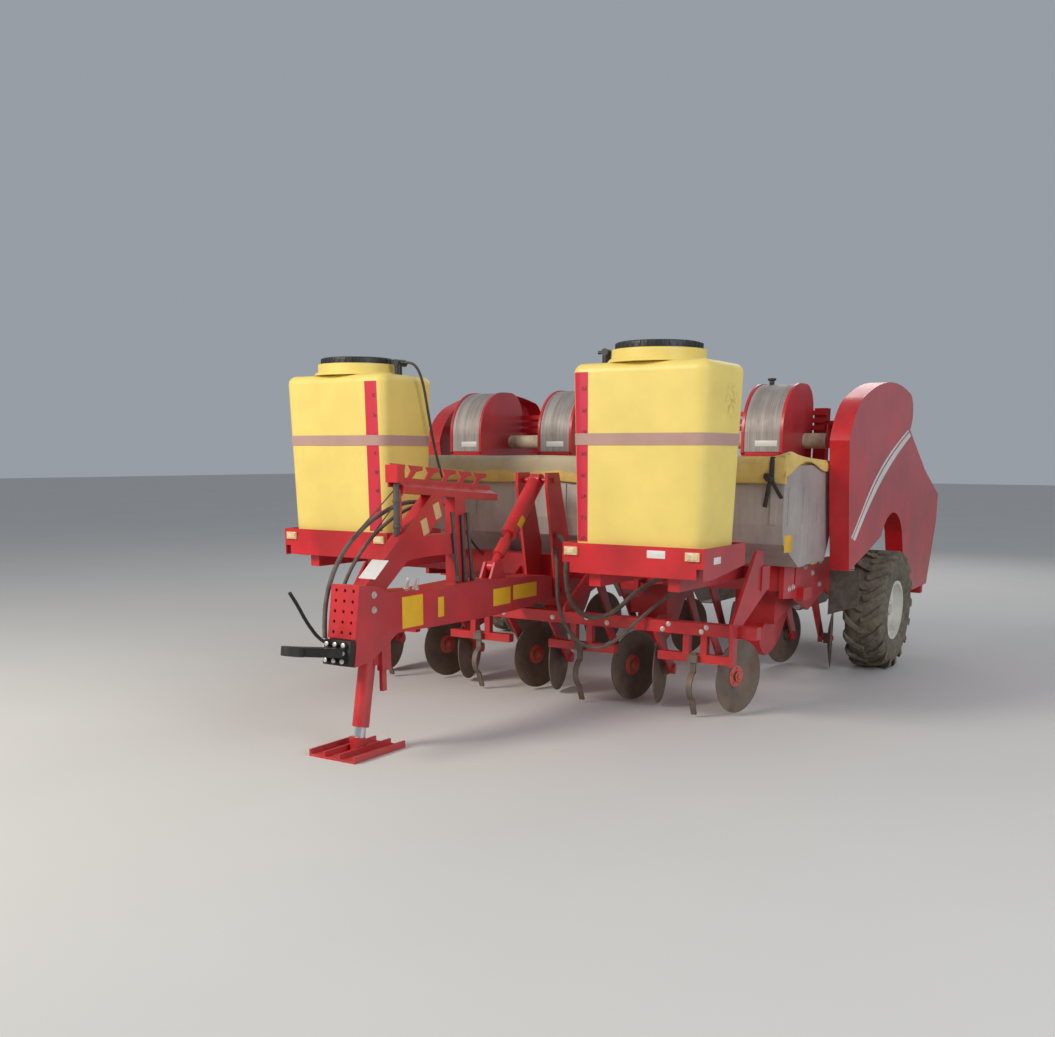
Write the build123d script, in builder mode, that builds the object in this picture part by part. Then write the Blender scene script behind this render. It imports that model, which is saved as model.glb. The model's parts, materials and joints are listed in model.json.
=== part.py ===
from build123d import *
import math
import os

os.makedirs("parts", exist_ok=True)

# A towed four-row potato planter, parked on its two wheels and its drawbar jack.
# Millimetres. The ground is Z = 0, X = 0 is the centre line, the tow eye points to -Y,
# and +X is the machine's left side. Places along the machine are given as the distance
# ahead of the wheel axle.

# Driving sizes of the whole machine
front_reach = 4400
rear_reach = 1240
row_pitch = 750
row_count = 4
track_over_rows = 92
hood_over_wheel = 74
hood_flange = 125
seat_gap = 0.3

axle_y = (front_reach - rear_reach) / 2
rows = [row_pitch * (i - (row_count - 1) / 2) for i in range(row_count)]
sides = (("left", 1), ("right", -1))
wheel_x = (row_pitch * row_count + track_over_rows) / 2
hood_outer_x = wheel_x + hood_over_wheel

# Wheels
tyre_d = 840
tyre_width = 285
lug_height = 22
lug_width = 32
lug_pairs = 17
lug_angle = 38
rim_d = 395
rim_width = 236
hub_d = 110
axle_z = tyre_d / 2

# Frame
beam = 160
front_beam_ahead = 1420
rear_beam_ahead = 720
rear_beam_depth = 120
beam_z = 756
leg_thick = 30
leg_gap = 29.5
beam_half = wheel_x - tyre_width / 2 - leg_gap - leg_thick
tray_beam_half = beam_half + 56
tray_beam_ahead = 1900
tray_beam_depth = 120
tray_beam_bottom = 730
tray_beam_top = 870
runner_width = 100
runner_x = rows[-2] + 185
upright = 80
upright_x = beam_half - 44
stub_d = 70

# Planting units
unit_half = 135
unit_bottom_z = 450
unit_rise = 150
unit_top_z = 1930
dome_r = 290
rim_proud = 14
rim_plate = 18
cover_thick = 6
upright_top = unit_top_z - 130

# Drawbar, hitch, mast and jack
hinge_setback = 100
hinge_ahead = tray_beam_ahead + tray_beam_depth / 2 + hinge_setback
hinge_z = 680
hinge_pin_d = 50
hinge_boss_r = 60
drawbar_half = 90
cheek_gap = 6
cheek_thick = 20
bar_front = front_reach - 455
face_top = (bar_front, 863)
face_bottom = (bar_front + 65, 464)
jack_ahead = bar_front - 45
jack_lean = 11
jack_tube_d = 88
jack_rod_d = 60
jack_tube_end_z = 127
foot_size = (300, 400, 12)
tow_hole_d = 50
tow_ring_d = 112

# Lift cylinder between the drawbar and the tower
upper_pin_reach = 120
upper_pin_z = 1345
lower_pin_reach = 605
lower_pin_z = 850
upper_pin_ahead = hinge_ahead + upper_pin_reach
lower_pin_ahead = hinge_ahead + lower_pin_reach
pin_d = 30
barrel_d = 100
rod_d = 45
rod_sleeve_d = 72
rod_sleeve_gap = 50
rod_sleeve_end = 90
gland_share = 0.64

# Tanks, trays, straps and lids
tank_inner_x = 631
tank_outer_x = 1423
tank_front_ahead = 2870
tank_depth = 500
tank_bottom_z = 970
tank_top_z = 1965
tank_corner = 70
tank_taper = 22
tray_wall = 6
tray_top_z = 1035
strap_z = 1578
strap_height = 60
strap_thick = 4
collar_d = 496
collar_top_z = 2032
lid_d = 455
lid_height = 38

# Hopper
hopper_half = hood_outer_x - hood_flange - 30
hopper_front_ahead = tray_beam_ahead - tray_beam_depth / 2
hopper_rear_ahead = front_beam_ahead - beam / 2 + 24
hopper_top_z = 1440
hopper_wall = 6
hopper_rib = 8
cover_half_depth = 50
cover_height = 170
cover_side = 22

# Side hoods
hood_sheet = 5

# Ground tools
tool_ahead = 2240
tool_tube = 70
tool_z = 525
tool_half = rows[-1] + 375
low_bar_z = 355
low_bar = 50
low_bar_half = 230
post_offset = 55
tine_tip_z = 22
tine_width = 34
tine_thick = 12
front_disc_d = 430
front_disc_ahead = tool_ahead - 220
front_disc_angle = 14
rear_disc_d = 420
rear_disc_ahead = 280
rear_disc_angle = 16
rear_disc_offset = 175
disc_clear = 12
disc_thick = 6

# Ridging hood behind the wheels
ridge_front_ahead = -470
ridge_rear_ahead = -1130
ridge_top_z = 640
ridge_low_z = 300
ridge_sheet = 6
ridge_top_half = 120
ridge_low_half = 320
rear_arm_half = 35
rear_arm_low = 705


def ahead(distance):
    """The Y place that lies this far in front of the axle."""
    return axle_y - distance


def side_plane(x):
    """The plane across the machine at x: its first axis is +Y and its second is +Z."""
    return Plane(origin=(x, 0, 0), x_dir=(0, 1, 0), z_dir=(1, 0, 0))


def block(low, high, mode=Mode.ADD):
    """Adds, or cuts, a box from its lowest to its highest corner."""
    with Locations(tuple((low[i] + high[i]) / 2 for i in range(3))):
        Box(*(high[i] - low[i] for i in range(3)), mode=mode)


def cross_pin(distance, z, radius, length, mode=Mode.ADD):
    """Adds, or cuts, a round bar that lies across the machine."""
    with Locations((0, ahead(distance), z)):
        Cylinder(radius, length, rotation=(0, 90, 0), mode=mode)


def side_shape(points):
    """Adds a closed outline from (ahead, z) points to the sketch being drawn."""
    Polygon(*((ahead(distance), z) for distance, z in points), align=None)


def bend_radii(route):
    """The bend at each inner point of a route: 0.45 of the shorter run over the tangent of half the turn."""
    stops = [Vector(*point) for point in route]
    runs = [after - before for before, after in zip(stops, stops[1:])]
    return [
        0.45 * min(before.length, after.length) / math.tan(math.radians(before.get_angle(after)) / 2)
        for before, after in zip(runs, runs[1:])
    ]


def tube_along(route, diameter):
    """Adds a round tube along straight runs joined by bends as large as the runs allow."""
    with BuildLine() as path:
        FilletPolyline(*route, radius=bend_radii(route))
    with BuildSketch(Plane(origin=route[0], z_dir=Vector(*route[1]) - Vector(*route[0]))) as section:
        Circle(diameter / 2)
    sweep(sections=section.sketch, path=path.wire())
    return path.wire().length


def moved_on(start, towards, distance):
    """The point that lies this far from start on the way to the next place."""
    return tuple(Vector(*start) + (Vector(*towards) - Vector(*start)).normalized() * distance)


def stub_on(places, diameter):
    """Adds the short stub that a hose is pushed up to, on the wall where its places start."""
    stub = Plane(origin=places[0], z_dir=Vector(*places[1]) - Vector(*places[0]))
    with Locations(stub.offset((stub_reach - stub_root) / 2)):
        Cylinder(diameter / 2 + 3, stub_reach + stub_root)


# Faces and edges that several pieces share
beam_low = beam_z - beam / 2
beam_high = beam_z + beam / 2
front_beam_front = front_beam_ahead + beam / 2
front_beam_rear = front_beam_ahead - beam / 2
rear_beam_front = rear_beam_ahead + rear_beam_depth / 2
rear_beam_rear = rear_beam_ahead - rear_beam_depth / 2
tray_beam_front = tray_beam_ahead + tray_beam_depth / 2
tray_beam_rear = tray_beam_ahead - tray_beam_depth / 2
cheek_in = drawbar_half + cheek_gap
cheek_out = cheek_in + cheek_thick
tool_top = tool_z + tool_tube / 2
tool_front = tool_ahead + tool_tube / 2
tool_rear = tool_ahead - tool_tube / 2
roller_d = 96
roller_z = unit_top_z - 340
roller_ahead = rear_beam_front + 170
roller_reach = rows[-1] + unit_half + 150
roller_bracket = 10
hood_inner_x = hood_outer_x - hood_sheet
tray_arm_xs = [side * x for side in (-1, 1) for x in (tank_inner_x + 149, tank_outer_x - 173)]
hanger_xs = [side * (rows[-2] - 115) for side in (-1, 1)]
strut_xs = [side * (rows[-1] + 255) for side in (-1, 1)]
hood_arm_zs = (unit_top_z - 630, unit_top_z - 240)
tank_mid_x = (tank_inner_x + tank_outer_x) / 2
tank_mid_y = ahead(tank_front_ahead - tank_depth / 2)
tank_width = tank_outer_x - tank_inner_x
vent_x = 312
vent_d = 46
nozzle_reach = 50
nozzle_end = -tank_mid_x + vent_x + nozzle_reach
mast_half = 35

# Hoses: their places run from wall to wall, or for the two tow hoses from the mast to their couplers.
# Columns: diameter, whether a stub stands at the start, whether one stands at the end, places
stub_reach = 24
stub_root = 10
tray_wall_y = ahead(tray_beam_front)
hoses = {
    "loop_hose_1": (28, True, True, (
        (cheek_out, -552, 1014), (222, -622, 990), (275, -698, 915), (310, -765, 790), (350, -800, 665),
        (440, -815, 570), (560, -800, 550), (660, -760, 605), (715, -690, 685), (745, -590, 732),
        (760, -485, 757), (765, tray_wall_y, 768),
    )),
    "loop_hose_2": (22, True, True, (
        (cheek_out, -560, 930), (176, -650, 892), (236, -738, 806), (276, -804, 692), (322, -850, 578),
        (395, -872, 470), (495, -876, 400), (605, -862, 385), (700, -835, 440), (770, -780, 525),
        (830, -700, 600), (880, -610, 662), (903, -500, 712), (914, tray_wall_y, 752),
    )),
    "tow_hose_1": (24, True, False, (
        (-mast_half, -1625, 1235), (-102, -1700, 1250), (-136, -1800, 1230), (-154, -1905, 1190),
        (-162, -2015, 1138), (-161, -2125, 1074), (-155, -2228, 996), (-146, -2314, 896),
        (-137, -2372, 786), (-132, -2396, 676), (-130, -2398, 590),
    )),
    "tow_hose_2": (20, True, False, (
        (-mast_half, -1478, 1228), (-92, -1540, 1236), (-135, -1622, 1224), (-166, -1722, 1190),
        (-186, -1830, 1134), (-197, -1935, 1066), (-199, -2035, 986), (-196, -2128, 894),
        (-190, -2200, 792), (-186, -2238, 686), (-183, -2246, 590),
    )),
    "vent_hose": (16, False, True, (
        (nozzle_end, tank_mid_y, tank_top_z + 72), (-620, -1040, 2037), (-585, -1029, 2012),
        (-573, -1006, 1966), (-572, -972, 1885), (-577, -935, 1765), (-583, -890, 1630), (-585, -843, 1490),
        (-580, -790, 1350), (-574, -725, 1215), (-568, -640, 1095), (-563, -550, 990), (-560, -465, 905),
        (-560, tray_wall_y, 848),
    )),
}

# Main frame: cross beams, runners, tray arms, tower cheeks, uprights and toolbar hangers
with BuildPart() as main_frame:
    block((-beam_half, ahead(front_beam_front), beam_low), (beam_half, ahead(front_beam_rear), beam_high))
    block((-beam_half, ahead(rear_beam_front), beam_low), (beam_half, ahead(rear_beam_rear), beam_high))
    block(
        (-tray_beam_half, ahead(tray_beam_front), tray_beam_bottom),
        (tray_beam_half, ahead(tray_beam_rear), tray_beam_top),
    )
    for x in (-runner_x, runner_x):
        for front, rear in ((tray_beam_rear, front_beam_front), (front_beam_rear, rear_beam_front)):
            block(
                (x - runner_width / 2, ahead(front), beam_low + 20),
                (x + runner_width / 2, ahead(rear), beam_high - 20),
            )
    for x in tray_arm_xs:
        block(
            (x - 35, ahead(tank_front_ahead) + 40, tray_beam_top - 70),
            (x + 35, ahead(tray_beam_front), tray_beam_top),
        )
    for side in (-1, 1):
        with BuildSketch(side_plane(side * (cheek_in + cheek_thick / 2))):
            side_shape((
                (hinge_ahead + 60, hinge_z - 60),
                (hinge_ahead + 75, hinge_z + 80),
                (upper_pin_ahead + 60, upper_pin_z - 40),
                (upper_pin_ahead + 60, upper_pin_z + 45),
                (upper_pin_ahead - 75, upper_pin_z + 45),
                (tray_beam_front, tray_beam_top + 60),
                (tray_beam_front, tray_beam_bottom),
                (hinge_ahead - 55, hinge_z - 60),
            ))
        extrude(amount=cheek_thick / 2, both=True)
        block(
            (side * upright_x - upright / 2, ahead(rear_beam_front), beam_low),
            (side * upright_x + upright / 2, ahead(rear_beam_front) + upright, upright_top),
        )
        inner = side * (upright_x + upright / 2)
        outer = side * (hood_inner_x - seat_gap)
        for z in hood_arm_zs:
            block(
                (min(inner, outer), ahead(rear_beam_front - 10), z - 30),
                (max(inner, outer), ahead(rear_beam_front - 70), z + 30),
            )
        bracket_x = side * (roller_reach + seat_gap + roller_bracket / 2)
        block(
            (bracket_x - roller_bracket / 2, ahead(roller_ahead + 30), roller_z - 45),
            (bracket_x + roller_bracket / 2, ahead(rear_beam_front - 70), hood_arm_zs[-1]),
        )
    for x in (-rows[-2], rows[-2]):
        block(
            (x - rear_arm_half, ahead(rear_beam_rear), rear_arm_low),
            (x + rear_arm_half, ahead(ridge_rear_ahead + 130), rear_arm_low + 80),
        )
        for foot in (ridge_front_ahead - 130, ridge_rear_ahead + 190):
            block(
                (x - rear_arm_half, ahead(foot), ridge_top_z + ridge_sheet + seat_gap),
                (x + rear_arm_half, ahead(foot - 60), rear_arm_low),
            )
    for x in hanger_xs:
        with BuildSketch(side_plane(x)):
            side_shape((
                (tray_beam_front, tray_beam_bottom + 60),
                (tool_front, tool_top + 30),
                (tool_front, tool_top),
                (tool_rear, tool_top),
                (tray_beam_rear, tray_beam_bottom),
                (tray_beam_front, tray_beam_bottom),
            ))
        extrude(amount=8, both=True)
    for x in strut_xs:
        with BuildSketch(side_plane(x)):
            side_shape((
                (tray_beam_front - 30, tray_beam_top + 95),
                (tray_beam_front + 70, tray_beam_top + 95),
                (tool_front + 75, tool_top + 20),
                (tool_front + 60, low_bar_z - 20),
                (tool_front + seat_gap, low_bar_z - 20),
                (tool_front + seat_gap, tool_top),
                (tool_rear, tool_top),
                (tray_beam_rear, tray_beam_bottom),
                (tray_beam_front - 30, tray_beam_top),
            ))
        extrude(amount=10, both=True)
    valve_x = rows[-2] + 222
    for low, high in (
        ((valve_x - 88, tray_beam_front, 690), (valve_x + 60, tray_beam_front + 50, 735)),
        ((valve_x + 5, tray_beam_front, 655), (valve_x + 40, tray_beam_front + 70, 790)),
    ):
        block((low[0], ahead(high[1]), low[2]), (high[0], ahead(low[1]), high[2]))
    cross_pin(hinge_ahead, hinge_z, hinge_pin_d / 2, 2 * cheek_out + 30)
    cross_pin(upper_pin_ahead, upper_pin_z, pin_d / 2, 2 * cheek_out + 30)
    for name in ("loop_hose_1", "loop_hose_2"):
        stub_on(hoses[name][-1], hoses[name][0])
    for name in ("loop_hose_1", "loop_hose_2", "vent_hose"):
        stub_on(hoses[name][-1][::-1], hoses[name][0])
main_frame.part.label = "main_frame"
export_step(main_frame.part, "parts/main_frame.step")

# Wheel legs: a plate on the beam ends, and the stub axle that carries the wheel
stub_end = wheel_x + 20
with BuildPart() as wheel_legs:
    for side in (-1, 1):
        with BuildSketch(side_plane(side * (beam_half + leg_thick / 2))):
            side_shape((
                (front_beam_front + 20, beam_low - 40),
                (front_beam_front + 20, beam_high),
                (front_beam_rear + 5, beam_high),
                (front_beam_rear - 20, beam_high + 110),
                (front_beam_rear - 240, beam_high + 110),
                (front_beam_rear - 290, beam_high + 10),
                (rear_beam_rear, beam_high),
                (-60, axle_z + 90),
                (-60, axle_z - 60),
                (70, axle_z - 60),
                (rear_beam_rear + 60, beam_low - 50),
                (front_beam_rear - 300, beam_low - 160),
                (front_beam_rear - 60, beam_low - 60),
            ))
            with Locations((ahead(front_beam_rear - 15), beam_z + 10)):
                SlotOverall(120, 26, rotation=90, mode=Mode.SUBTRACT)
        extrude(amount=leg_thick / 2, both=True)
        with Locations((side * (beam_half + stub_end) / 2, axle_y, axle_z)):
            Cylinder(stub_d / 2, stub_end - beam_half, rotation=(0, 90, 0))
        plate_x = side * (beam_half + leg_thick)
        for low, high in (
            ((0, front_beam_rear - 220, beam_low - 75), (46, front_beam_rear - 60, beam_low + 5)),
            ((-leg_thick, front_beam_rear - 200, beam_high + 80), (20, front_beam_rear - 60, beam_high + 150)),
        ):
            xs = sorted((plate_x + side * low[0], plate_x + side * high[0]))
            block((xs[0], ahead(high[1]), low[2]), (xs[1], ahead(low[1]), high[2]))
wheel_legs.part.label = "wheel_legs"
export_step(wheel_legs.part, "parts/wheel_legs.step")

# Wheels: a lugged tyre on a dished rim
carcass_r = axle_z - lug_height
bead_r = rim_d / 2 + seat_gap
tyre_facets = 40
shoulder_drop = 52
shoulder_width = 30
dish_rise = 62
dish_width = (tyre_width - rim_width) / 2 + 26
for name, side in sides:
    with BuildPart() as tyre:
        with BuildSketch(Plane.YZ.offset(-tyre_width / 2)):
            RegularPolygon(carcass_r, tyre_facets)
            RegularPolygon(bead_r, tyre_facets, major_radius=False, mode=Mode.SUBTRACT)
        extrude(amount=tyre_width)
        for end in (0, -1):
            wall = tyre.faces().sort_by(Axis.X)[end]
            chamfer(wall.outer_wire().edges(), length=shoulder_drop, length2=shoulder_width, reference=wall)
            wall = tyre.faces().sort_by(Axis.X)[end]
            chamfer(wall.inner_wires()[0].edges(), length=dish_rise, length2=dish_width, reference=wall)
        lug_reach = tyre_width / 2 - 10
        lug_length = lug_reach / math.cos(math.radians(lug_angle))
        for half in (-1, 1):
            for i in range(lug_pairs):
                turn = 360 / lug_pairs * (i + (0.5 if half > 0 else 0))
                with BuildPart(mode=Mode.PRIVATE) as lug:
                    with Locations(Location(
                        (half * lug_reach / 2, 0, axle_z - lug_height - 4), (0, 0, half * lug_angle)
                    )):
                        Box(lug_length, lug_width, 2 * lug_height + 8)
                add(lug.part.rotate(Axis.X, turn))
        with BuildSketch(Plane.YZ.offset(-tyre_width)):
            Circle(axle_z)
        extrude(amount=2 * tyre_width, mode=Mode.INTERSECT)
    placed = tyre.part.moved(Location((side * wheel_x, axle_y, axle_z)))
    placed.label = f"tyre_{name}"
    export_step(placed, f"parts/tyre_{name}.step")

    with BuildPart() as rim:
        with BuildSketch(Plane.XY):
            with BuildLine():
                Polyline(
                    (-rim_width / 2, rim_d / 2 + 12),
                    (-rim_width / 2 + 10, rim_d / 2 + 12),
                    (-rim_width / 2 + 12 - seat_gap, rim_d / 2),
                    (rim_width / 2 - 12 + seat_gap, rim_d / 2),
                    (rim_width / 2 - 10, rim_d / 2 + 12),
                    (rim_width / 2, rim_d / 2 + 12),
                    (rim_width / 2, rim_d / 2 - 12),
                    (rim_width / 2 - 60, rim_d / 2 - 22),
                    (30, hub_d / 2 + 36),
                    (30, stub_d / 2 + seat_gap),
                    (14, stub_d / 2 + seat_gap),
                    (14, hub_d / 2 + 40),
                    (rim_width / 2 - 78, rim_d / 2 - 34),
                    (-rim_width / 2, rim_d / 2 - 12),
                    close=True,
                )
            make_face()
        revolve(axis=Axis.X)
        with BuildSketch(Plane.YZ.offset(30)):
            Circle(hub_d / 2)
        extrude(amount=45)
        with BuildSketch(Plane.YZ.offset(0)):
            Circle(stub_d / 2 + seat_gap)
        extrude(amount=30, mode=Mode.SUBTRACT)
    placed = rim.part if side > 0 else rim.part.mirror(Plane.YZ)
    placed = placed.moved(Location((side * wheel_x, axle_y, axle_z)))
    placed.label = f"rim_{name}"
    export_step(placed, f"parts/rim_{name}.step")


# Drawbar: a welded box with a leaning front face, the jack's tube and the lift lugs
def jack_at(z):
    """How far ahead the leaning jack's axis is at this height."""
    return jack_ahead - z * math.tan(math.radians(jack_lean))


def jack_plane(z):
    """The plane square to the jack, where its axis has this height; its normal points up the jack."""
    lean = math.radians(jack_lean)
    return Plane(origin=(0, ahead(jack_at(z)), z), x_dir=(1, 0, 0), z_dir=(0, math.sin(lean), math.cos(lean)))


bar_top_line = (
    face_top,
    (bar_front - 145, 845),
    (bar_front - 200, 812),
    (bar_front - 575, 790),
    (bar_front - 975, 800),
    (hinge_ahead + 140, 765),
)


def bar_top(distance):
    """The height of the drawbar's top at this place, with the gap for a piece that stands on it."""
    for (front, front_z), (rear, rear_z) in zip(bar_top_line, bar_top_line[1:]):
        if rear <= distance <= front:
            return rear_z + (front_z - rear_z) * (distance - rear) / (front - rear) + seat_gap


lug_in = 26
lug_out = 42
jack_tube_top_z = 600
jack_bore = 420
with BuildPart() as drawbar_beam:
    with BuildSketch(side_plane(0)):
        side_shape((
            *bar_top_line,
            (hinge_ahead, hinge_z + hinge_boss_r),
            (hinge_ahead, hinge_z - hinge_boss_r),
            (hinge_ahead + 440, 590),
            (hinge_ahead + 810, 580),
            (bar_front - 275, 594),
            (bar_front - 65, 474),
            face_bottom,
        ))
    extrude(amount=drawbar_half, both=True)
    cross_pin(hinge_ahead, hinge_z, hinge_boss_r, 2 * drawbar_half)
    with BuildSketch(jack_plane(jack_tube_end_z)):
        Circle(jack_tube_d / 2)
    extrude(amount=(jack_tube_top_z - jack_tube_end_z) / math.cos(math.radians(jack_lean)))
    for side in (-1, 1):
        with BuildSketch(side_plane(side * (lug_in + lug_out) / 2)):
            side_shape((
                (lower_pin_ahead + 80, 790),
                (lower_pin_ahead + 35, lower_pin_z + 30),
                (lower_pin_ahead - 30, lower_pin_z + 30),
                (lower_pin_ahead - 80, 782),
            ))
        extrude(amount=(lug_out - lug_in) / 2, both=True)
    block((40, ahead(bar_front - 165), 410), (75, ahead(bar_front - 235), 560))
    block((40, ahead(bar_front - 180), 300), (60, ahead(bar_front - 215), 410))
    block((30, ahead(bar_front - 130), 440), (50, ahead(bar_front - 165), 520))
    cross_pin(lower_pin_ahead, lower_pin_z, pin_d / 2, 2 * lug_out)
    cross_pin(hinge_ahead, hinge_z, hinge_pin_d / 2 + seat_gap, 2 * drawbar_half + 2, Mode.SUBTRACT)
    with BuildSketch(jack_plane(jack_tube_end_z)):
        Circle(jack_rod_d / 2 + seat_gap)
    extrude(amount=jack_bore, mode=Mode.SUBTRACT)
drawbar_beam.part.label = "drawbar_beam"
export_step(drawbar_beam.part, "parts/drawbar_beam.step")

# Jack leg: a chrome rod in the tube, and the foot that stands on the ground
socket_top_z = 74
with BuildPart() as jack_rod:
    with BuildSketch(jack_plane(socket_top_z)):
        Circle(jack_rod_d / 2)
    extrude(amount=(jack_tube_end_z - socket_top_z) / math.cos(math.radians(jack_lean)) + jack_bore - 70)
jack_rod.part.label = "jack_rod"
export_step(jack_rod.part, "parts/jack_rod.step")

with BuildPart() as jack_foot:
    foot_x, foot_y, foot_thick = foot_size
    foot_centre = ahead(jack_at(0))
    with Locations((0, foot_centre, foot_thick / 2)):
        Box(foot_x, foot_y, foot_thick)
    for x in (-foot_x / 2 + 5, -foot_x / 6, foot_x / 6, foot_x / 2 - 5):
        with Locations((x, foot_centre, foot_thick + 12)):
            Box(10, foot_y, 24)
    with BuildSketch(Plane.XY.offset(foot_thick)):
        with Locations((0, foot_centre)):
            Circle(jack_rod_d / 2 + 12)
    extrude(amount=socket_top_z + 20 - foot_thick)
    with BuildSketch(jack_plane(socket_top_z)):
        Circle(jack_rod_d + 40)
    extrude(amount=120, mode=Mode.SUBTRACT)
jack_foot.part.label = "jack_foot"
export_step(jack_foot.part, "parts/jack_foot.step")

# Hitch: a drilled plate on the drawbar's leaning face, and the tow eye bolted below it
face_dy = face_bottom[0] - face_top[0]
face_dz = face_top[1] - face_bottom[1]
face_length = math.hypot(face_dy, face_dz)
face_out = (0, -face_dz / face_length, face_dy / face_length)
hitch_plane = Plane(
    origin=(0, ahead(face_bottom[0]), face_bottom[1]), x_dir=(1, 0, 0), z_dir=face_out
)
plate_low = 136
plate_thick = 14
hole_pitch_x = 55
hole_pitch_y = 52
hole_d = 17
plate_height = face_length - plate_low
with BuildPart() as hitch_plate:
    with BuildSketch(hitch_plane):
        with Locations((0, plate_low + plate_height / 2)):
            Rectangle(2 * drawbar_half, plate_height)
            with GridLocations(hole_pitch_x, hole_pitch_y, 3, 5):
                Circle(hole_d / 2, mode=Mode.SUBTRACT)
    extrude(amount=plate_thick)
hitch_plate.part.label = "hitch_plate"
export_step(hitch_plate.part, "parts/hitch_plate.step")

tow_block_depth = 40
tow_mid = 66
ring_thick = 44
tow_tip = (front_reach - face_bottom[0] + (tow_mid - ring_thick / 2) * face_out[2]) / -face_out[1]
ring_out = tow_tip - tow_ring_d / 2
with BuildPart() as tow_eye:
    with BuildSketch(hitch_plane):
        with Locations((0, tow_mid)):
            RectangleRounded(2 * drawbar_half - 8, 126, 10)
    extrude(amount=tow_block_depth)
    with Locations(hitch_plane):
        with GridLocations(54, 40, 3, 3):
            with Locations((0, tow_mid, tow_block_depth + 8)):
                Cylinder(13, 16)
    top_plane = Plane(origin=hitch_plane.from_local_coords((0, tow_mid, 0)), x_dir=(1, 0, 0), z_dir=hitch_plane.y_dir)
    with BuildSketch(top_plane):
        with BuildLine():
            Polyline(
                (-58, -tow_block_depth + 5),
                (58, -tow_block_depth + 5),
                (tow_ring_d / 2 - 14, -ring_out + 12),
                (-tow_ring_d / 2 + 14, -ring_out + 12),
                close=True,
            )
        make_face()
        with Locations((0, -ring_out)):
            Circle(tow_ring_d / 2)
            Circle(tow_hole_d / 2, mode=Mode.SUBTRACT)
    extrude(amount=ring_thick / 2, both=True)
    tube_along([
        hitch_plane.from_local_coords(point)
        for point in ((-60, 94, 21), (-95, 134, 83), (-100, 207, 165), (-100, 282, 233), (-100, 339, 293))
    ], 18)
tow_eye.part.label = "tow_eye"
export_step(tow_eye.part, "parts/tow_eye.step")

# Hose mast: a leaning strut, a rear post, a folded channel and the hooked rack that holds the hoses
mast_front = bar_front - 95
rack_front = (bar_front - 415, 1300)
rack_rear = (bar_front - 1280, 1235)
channel_side = 38
rack_tube = 62
rack_plate = 10
hook_count = 6
hook_pitch = 150
hook_neck = 32
hook_lean = 40
hook_head = 96
hook_height = 76
hook_bar = 28
rack_slope = (rack_front[1] - rack_rear[1]) / (rack_front[0] - rack_rear[0])
rack_line = Plane(
    origin=(0, ahead(rack_front[0]), rack_front[1]),
    x_dir=(1, 0, 0),
    z_dir=(0, rack_front[0] - rack_rear[0], rack_rear[1] - rack_front[1]),
)
with BuildPart() as hose_mast:
    with BuildSketch(side_plane(0)):
        side_shape((
            (mast_front, bar_top(mast_front)),
            (bar_front - 145, bar_top(bar_front - 145)),
            (bar_front - 200, bar_top(bar_front - 200)),
            (bar_front - 245, bar_top(bar_front - 245)),
            (bar_front - 750, 1175),
            (bar_front - 750, 1290),
            (bar_front - 665, 1295),
        ))
        side_shape((
            (bar_front - 865, bar_top(bar_front - 865)),
            (bar_front - 960, bar_top(bar_front - 960)),
            (bar_front - 960, 1275),
            (bar_front - 865, 1280),
        ))
        side_shape((
            (bar_front - 430, 950),
            (bar_front - 585, 960),
            (bar_front - 865, 960),
            (bar_front - 865, 1072),
            (bar_front - 525, 1072),
        ))
    extrude(amount=mast_half, both=True)
    with BuildSketch(rack_line):
        Polygon(
            (-mast_half, 0),
            (-mast_half, -rack_tube),
            (rack_plate - mast_half, -rack_tube),
            (mast_half, -channel_side),
            (mast_half, 0),
            align=None,
        )
    extrude(amount=math.hypot(rack_front[0] - rack_rear[0], rack_front[1] - rack_rear[1]))
    with BuildSketch(side_plane(rack_plate / 2 - mast_half)):
        rack_top = rack_front[1] + rack_tube
        side_shape((
            (rack_front[0] + 45, rack_top - 30),
            (rack_front[0] + 45, rack_top + 24),
            (rack_rear[0] - 10, rack_top + 24 - rack_slope * (rack_front[0] - rack_rear[0])),
            (rack_rear[0] - 10, rack_top - 30 - rack_slope * (rack_front[0] - rack_rear[0])),
        ))
        for i in range(hook_count):
            foot = rack_front[0] + 45 - i * hook_pitch
            z = rack_top + 14 - rack_slope * i * hook_pitch
            head_low = z + hook_height - hook_bar
            side_shape((
                (foot, z),
                (foot - hook_lean, head_low),
                (foot - hook_lean + 20, z + hook_height),
                (foot - hook_lean - hook_head, z + hook_height - 8),
                (foot - hook_lean - hook_head, head_low),
                (foot - hook_lean - hook_neck - 10, head_low - 8),
                (foot - hook_neck, z),
            ))
    extrude(amount=rack_plate / 2, both=True)
    block(
        (-mast_half - 5, ahead(rack_front[0] + 55), rack_front[1] + 55),
        (mast_half + 5, ahead(rack_front[0] - 5), rack_front[1] + 145),
    )
    with BuildSketch(Plane.XY.offset(1060)):
        with Locations((0, ahead(rack_front[0] - 5))):
            Circle(13)
    extrude(amount=rack_front[1] + 20 - 1060)
    for name in ("tow_hose_1", "tow_hose_2"):
        stub_on(hoses[name][-1], hoses[name][0])
hose_mast.part.label = "hose_mast"
export_step(hose_mast.part, "parts/hose_mast.step")

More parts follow.
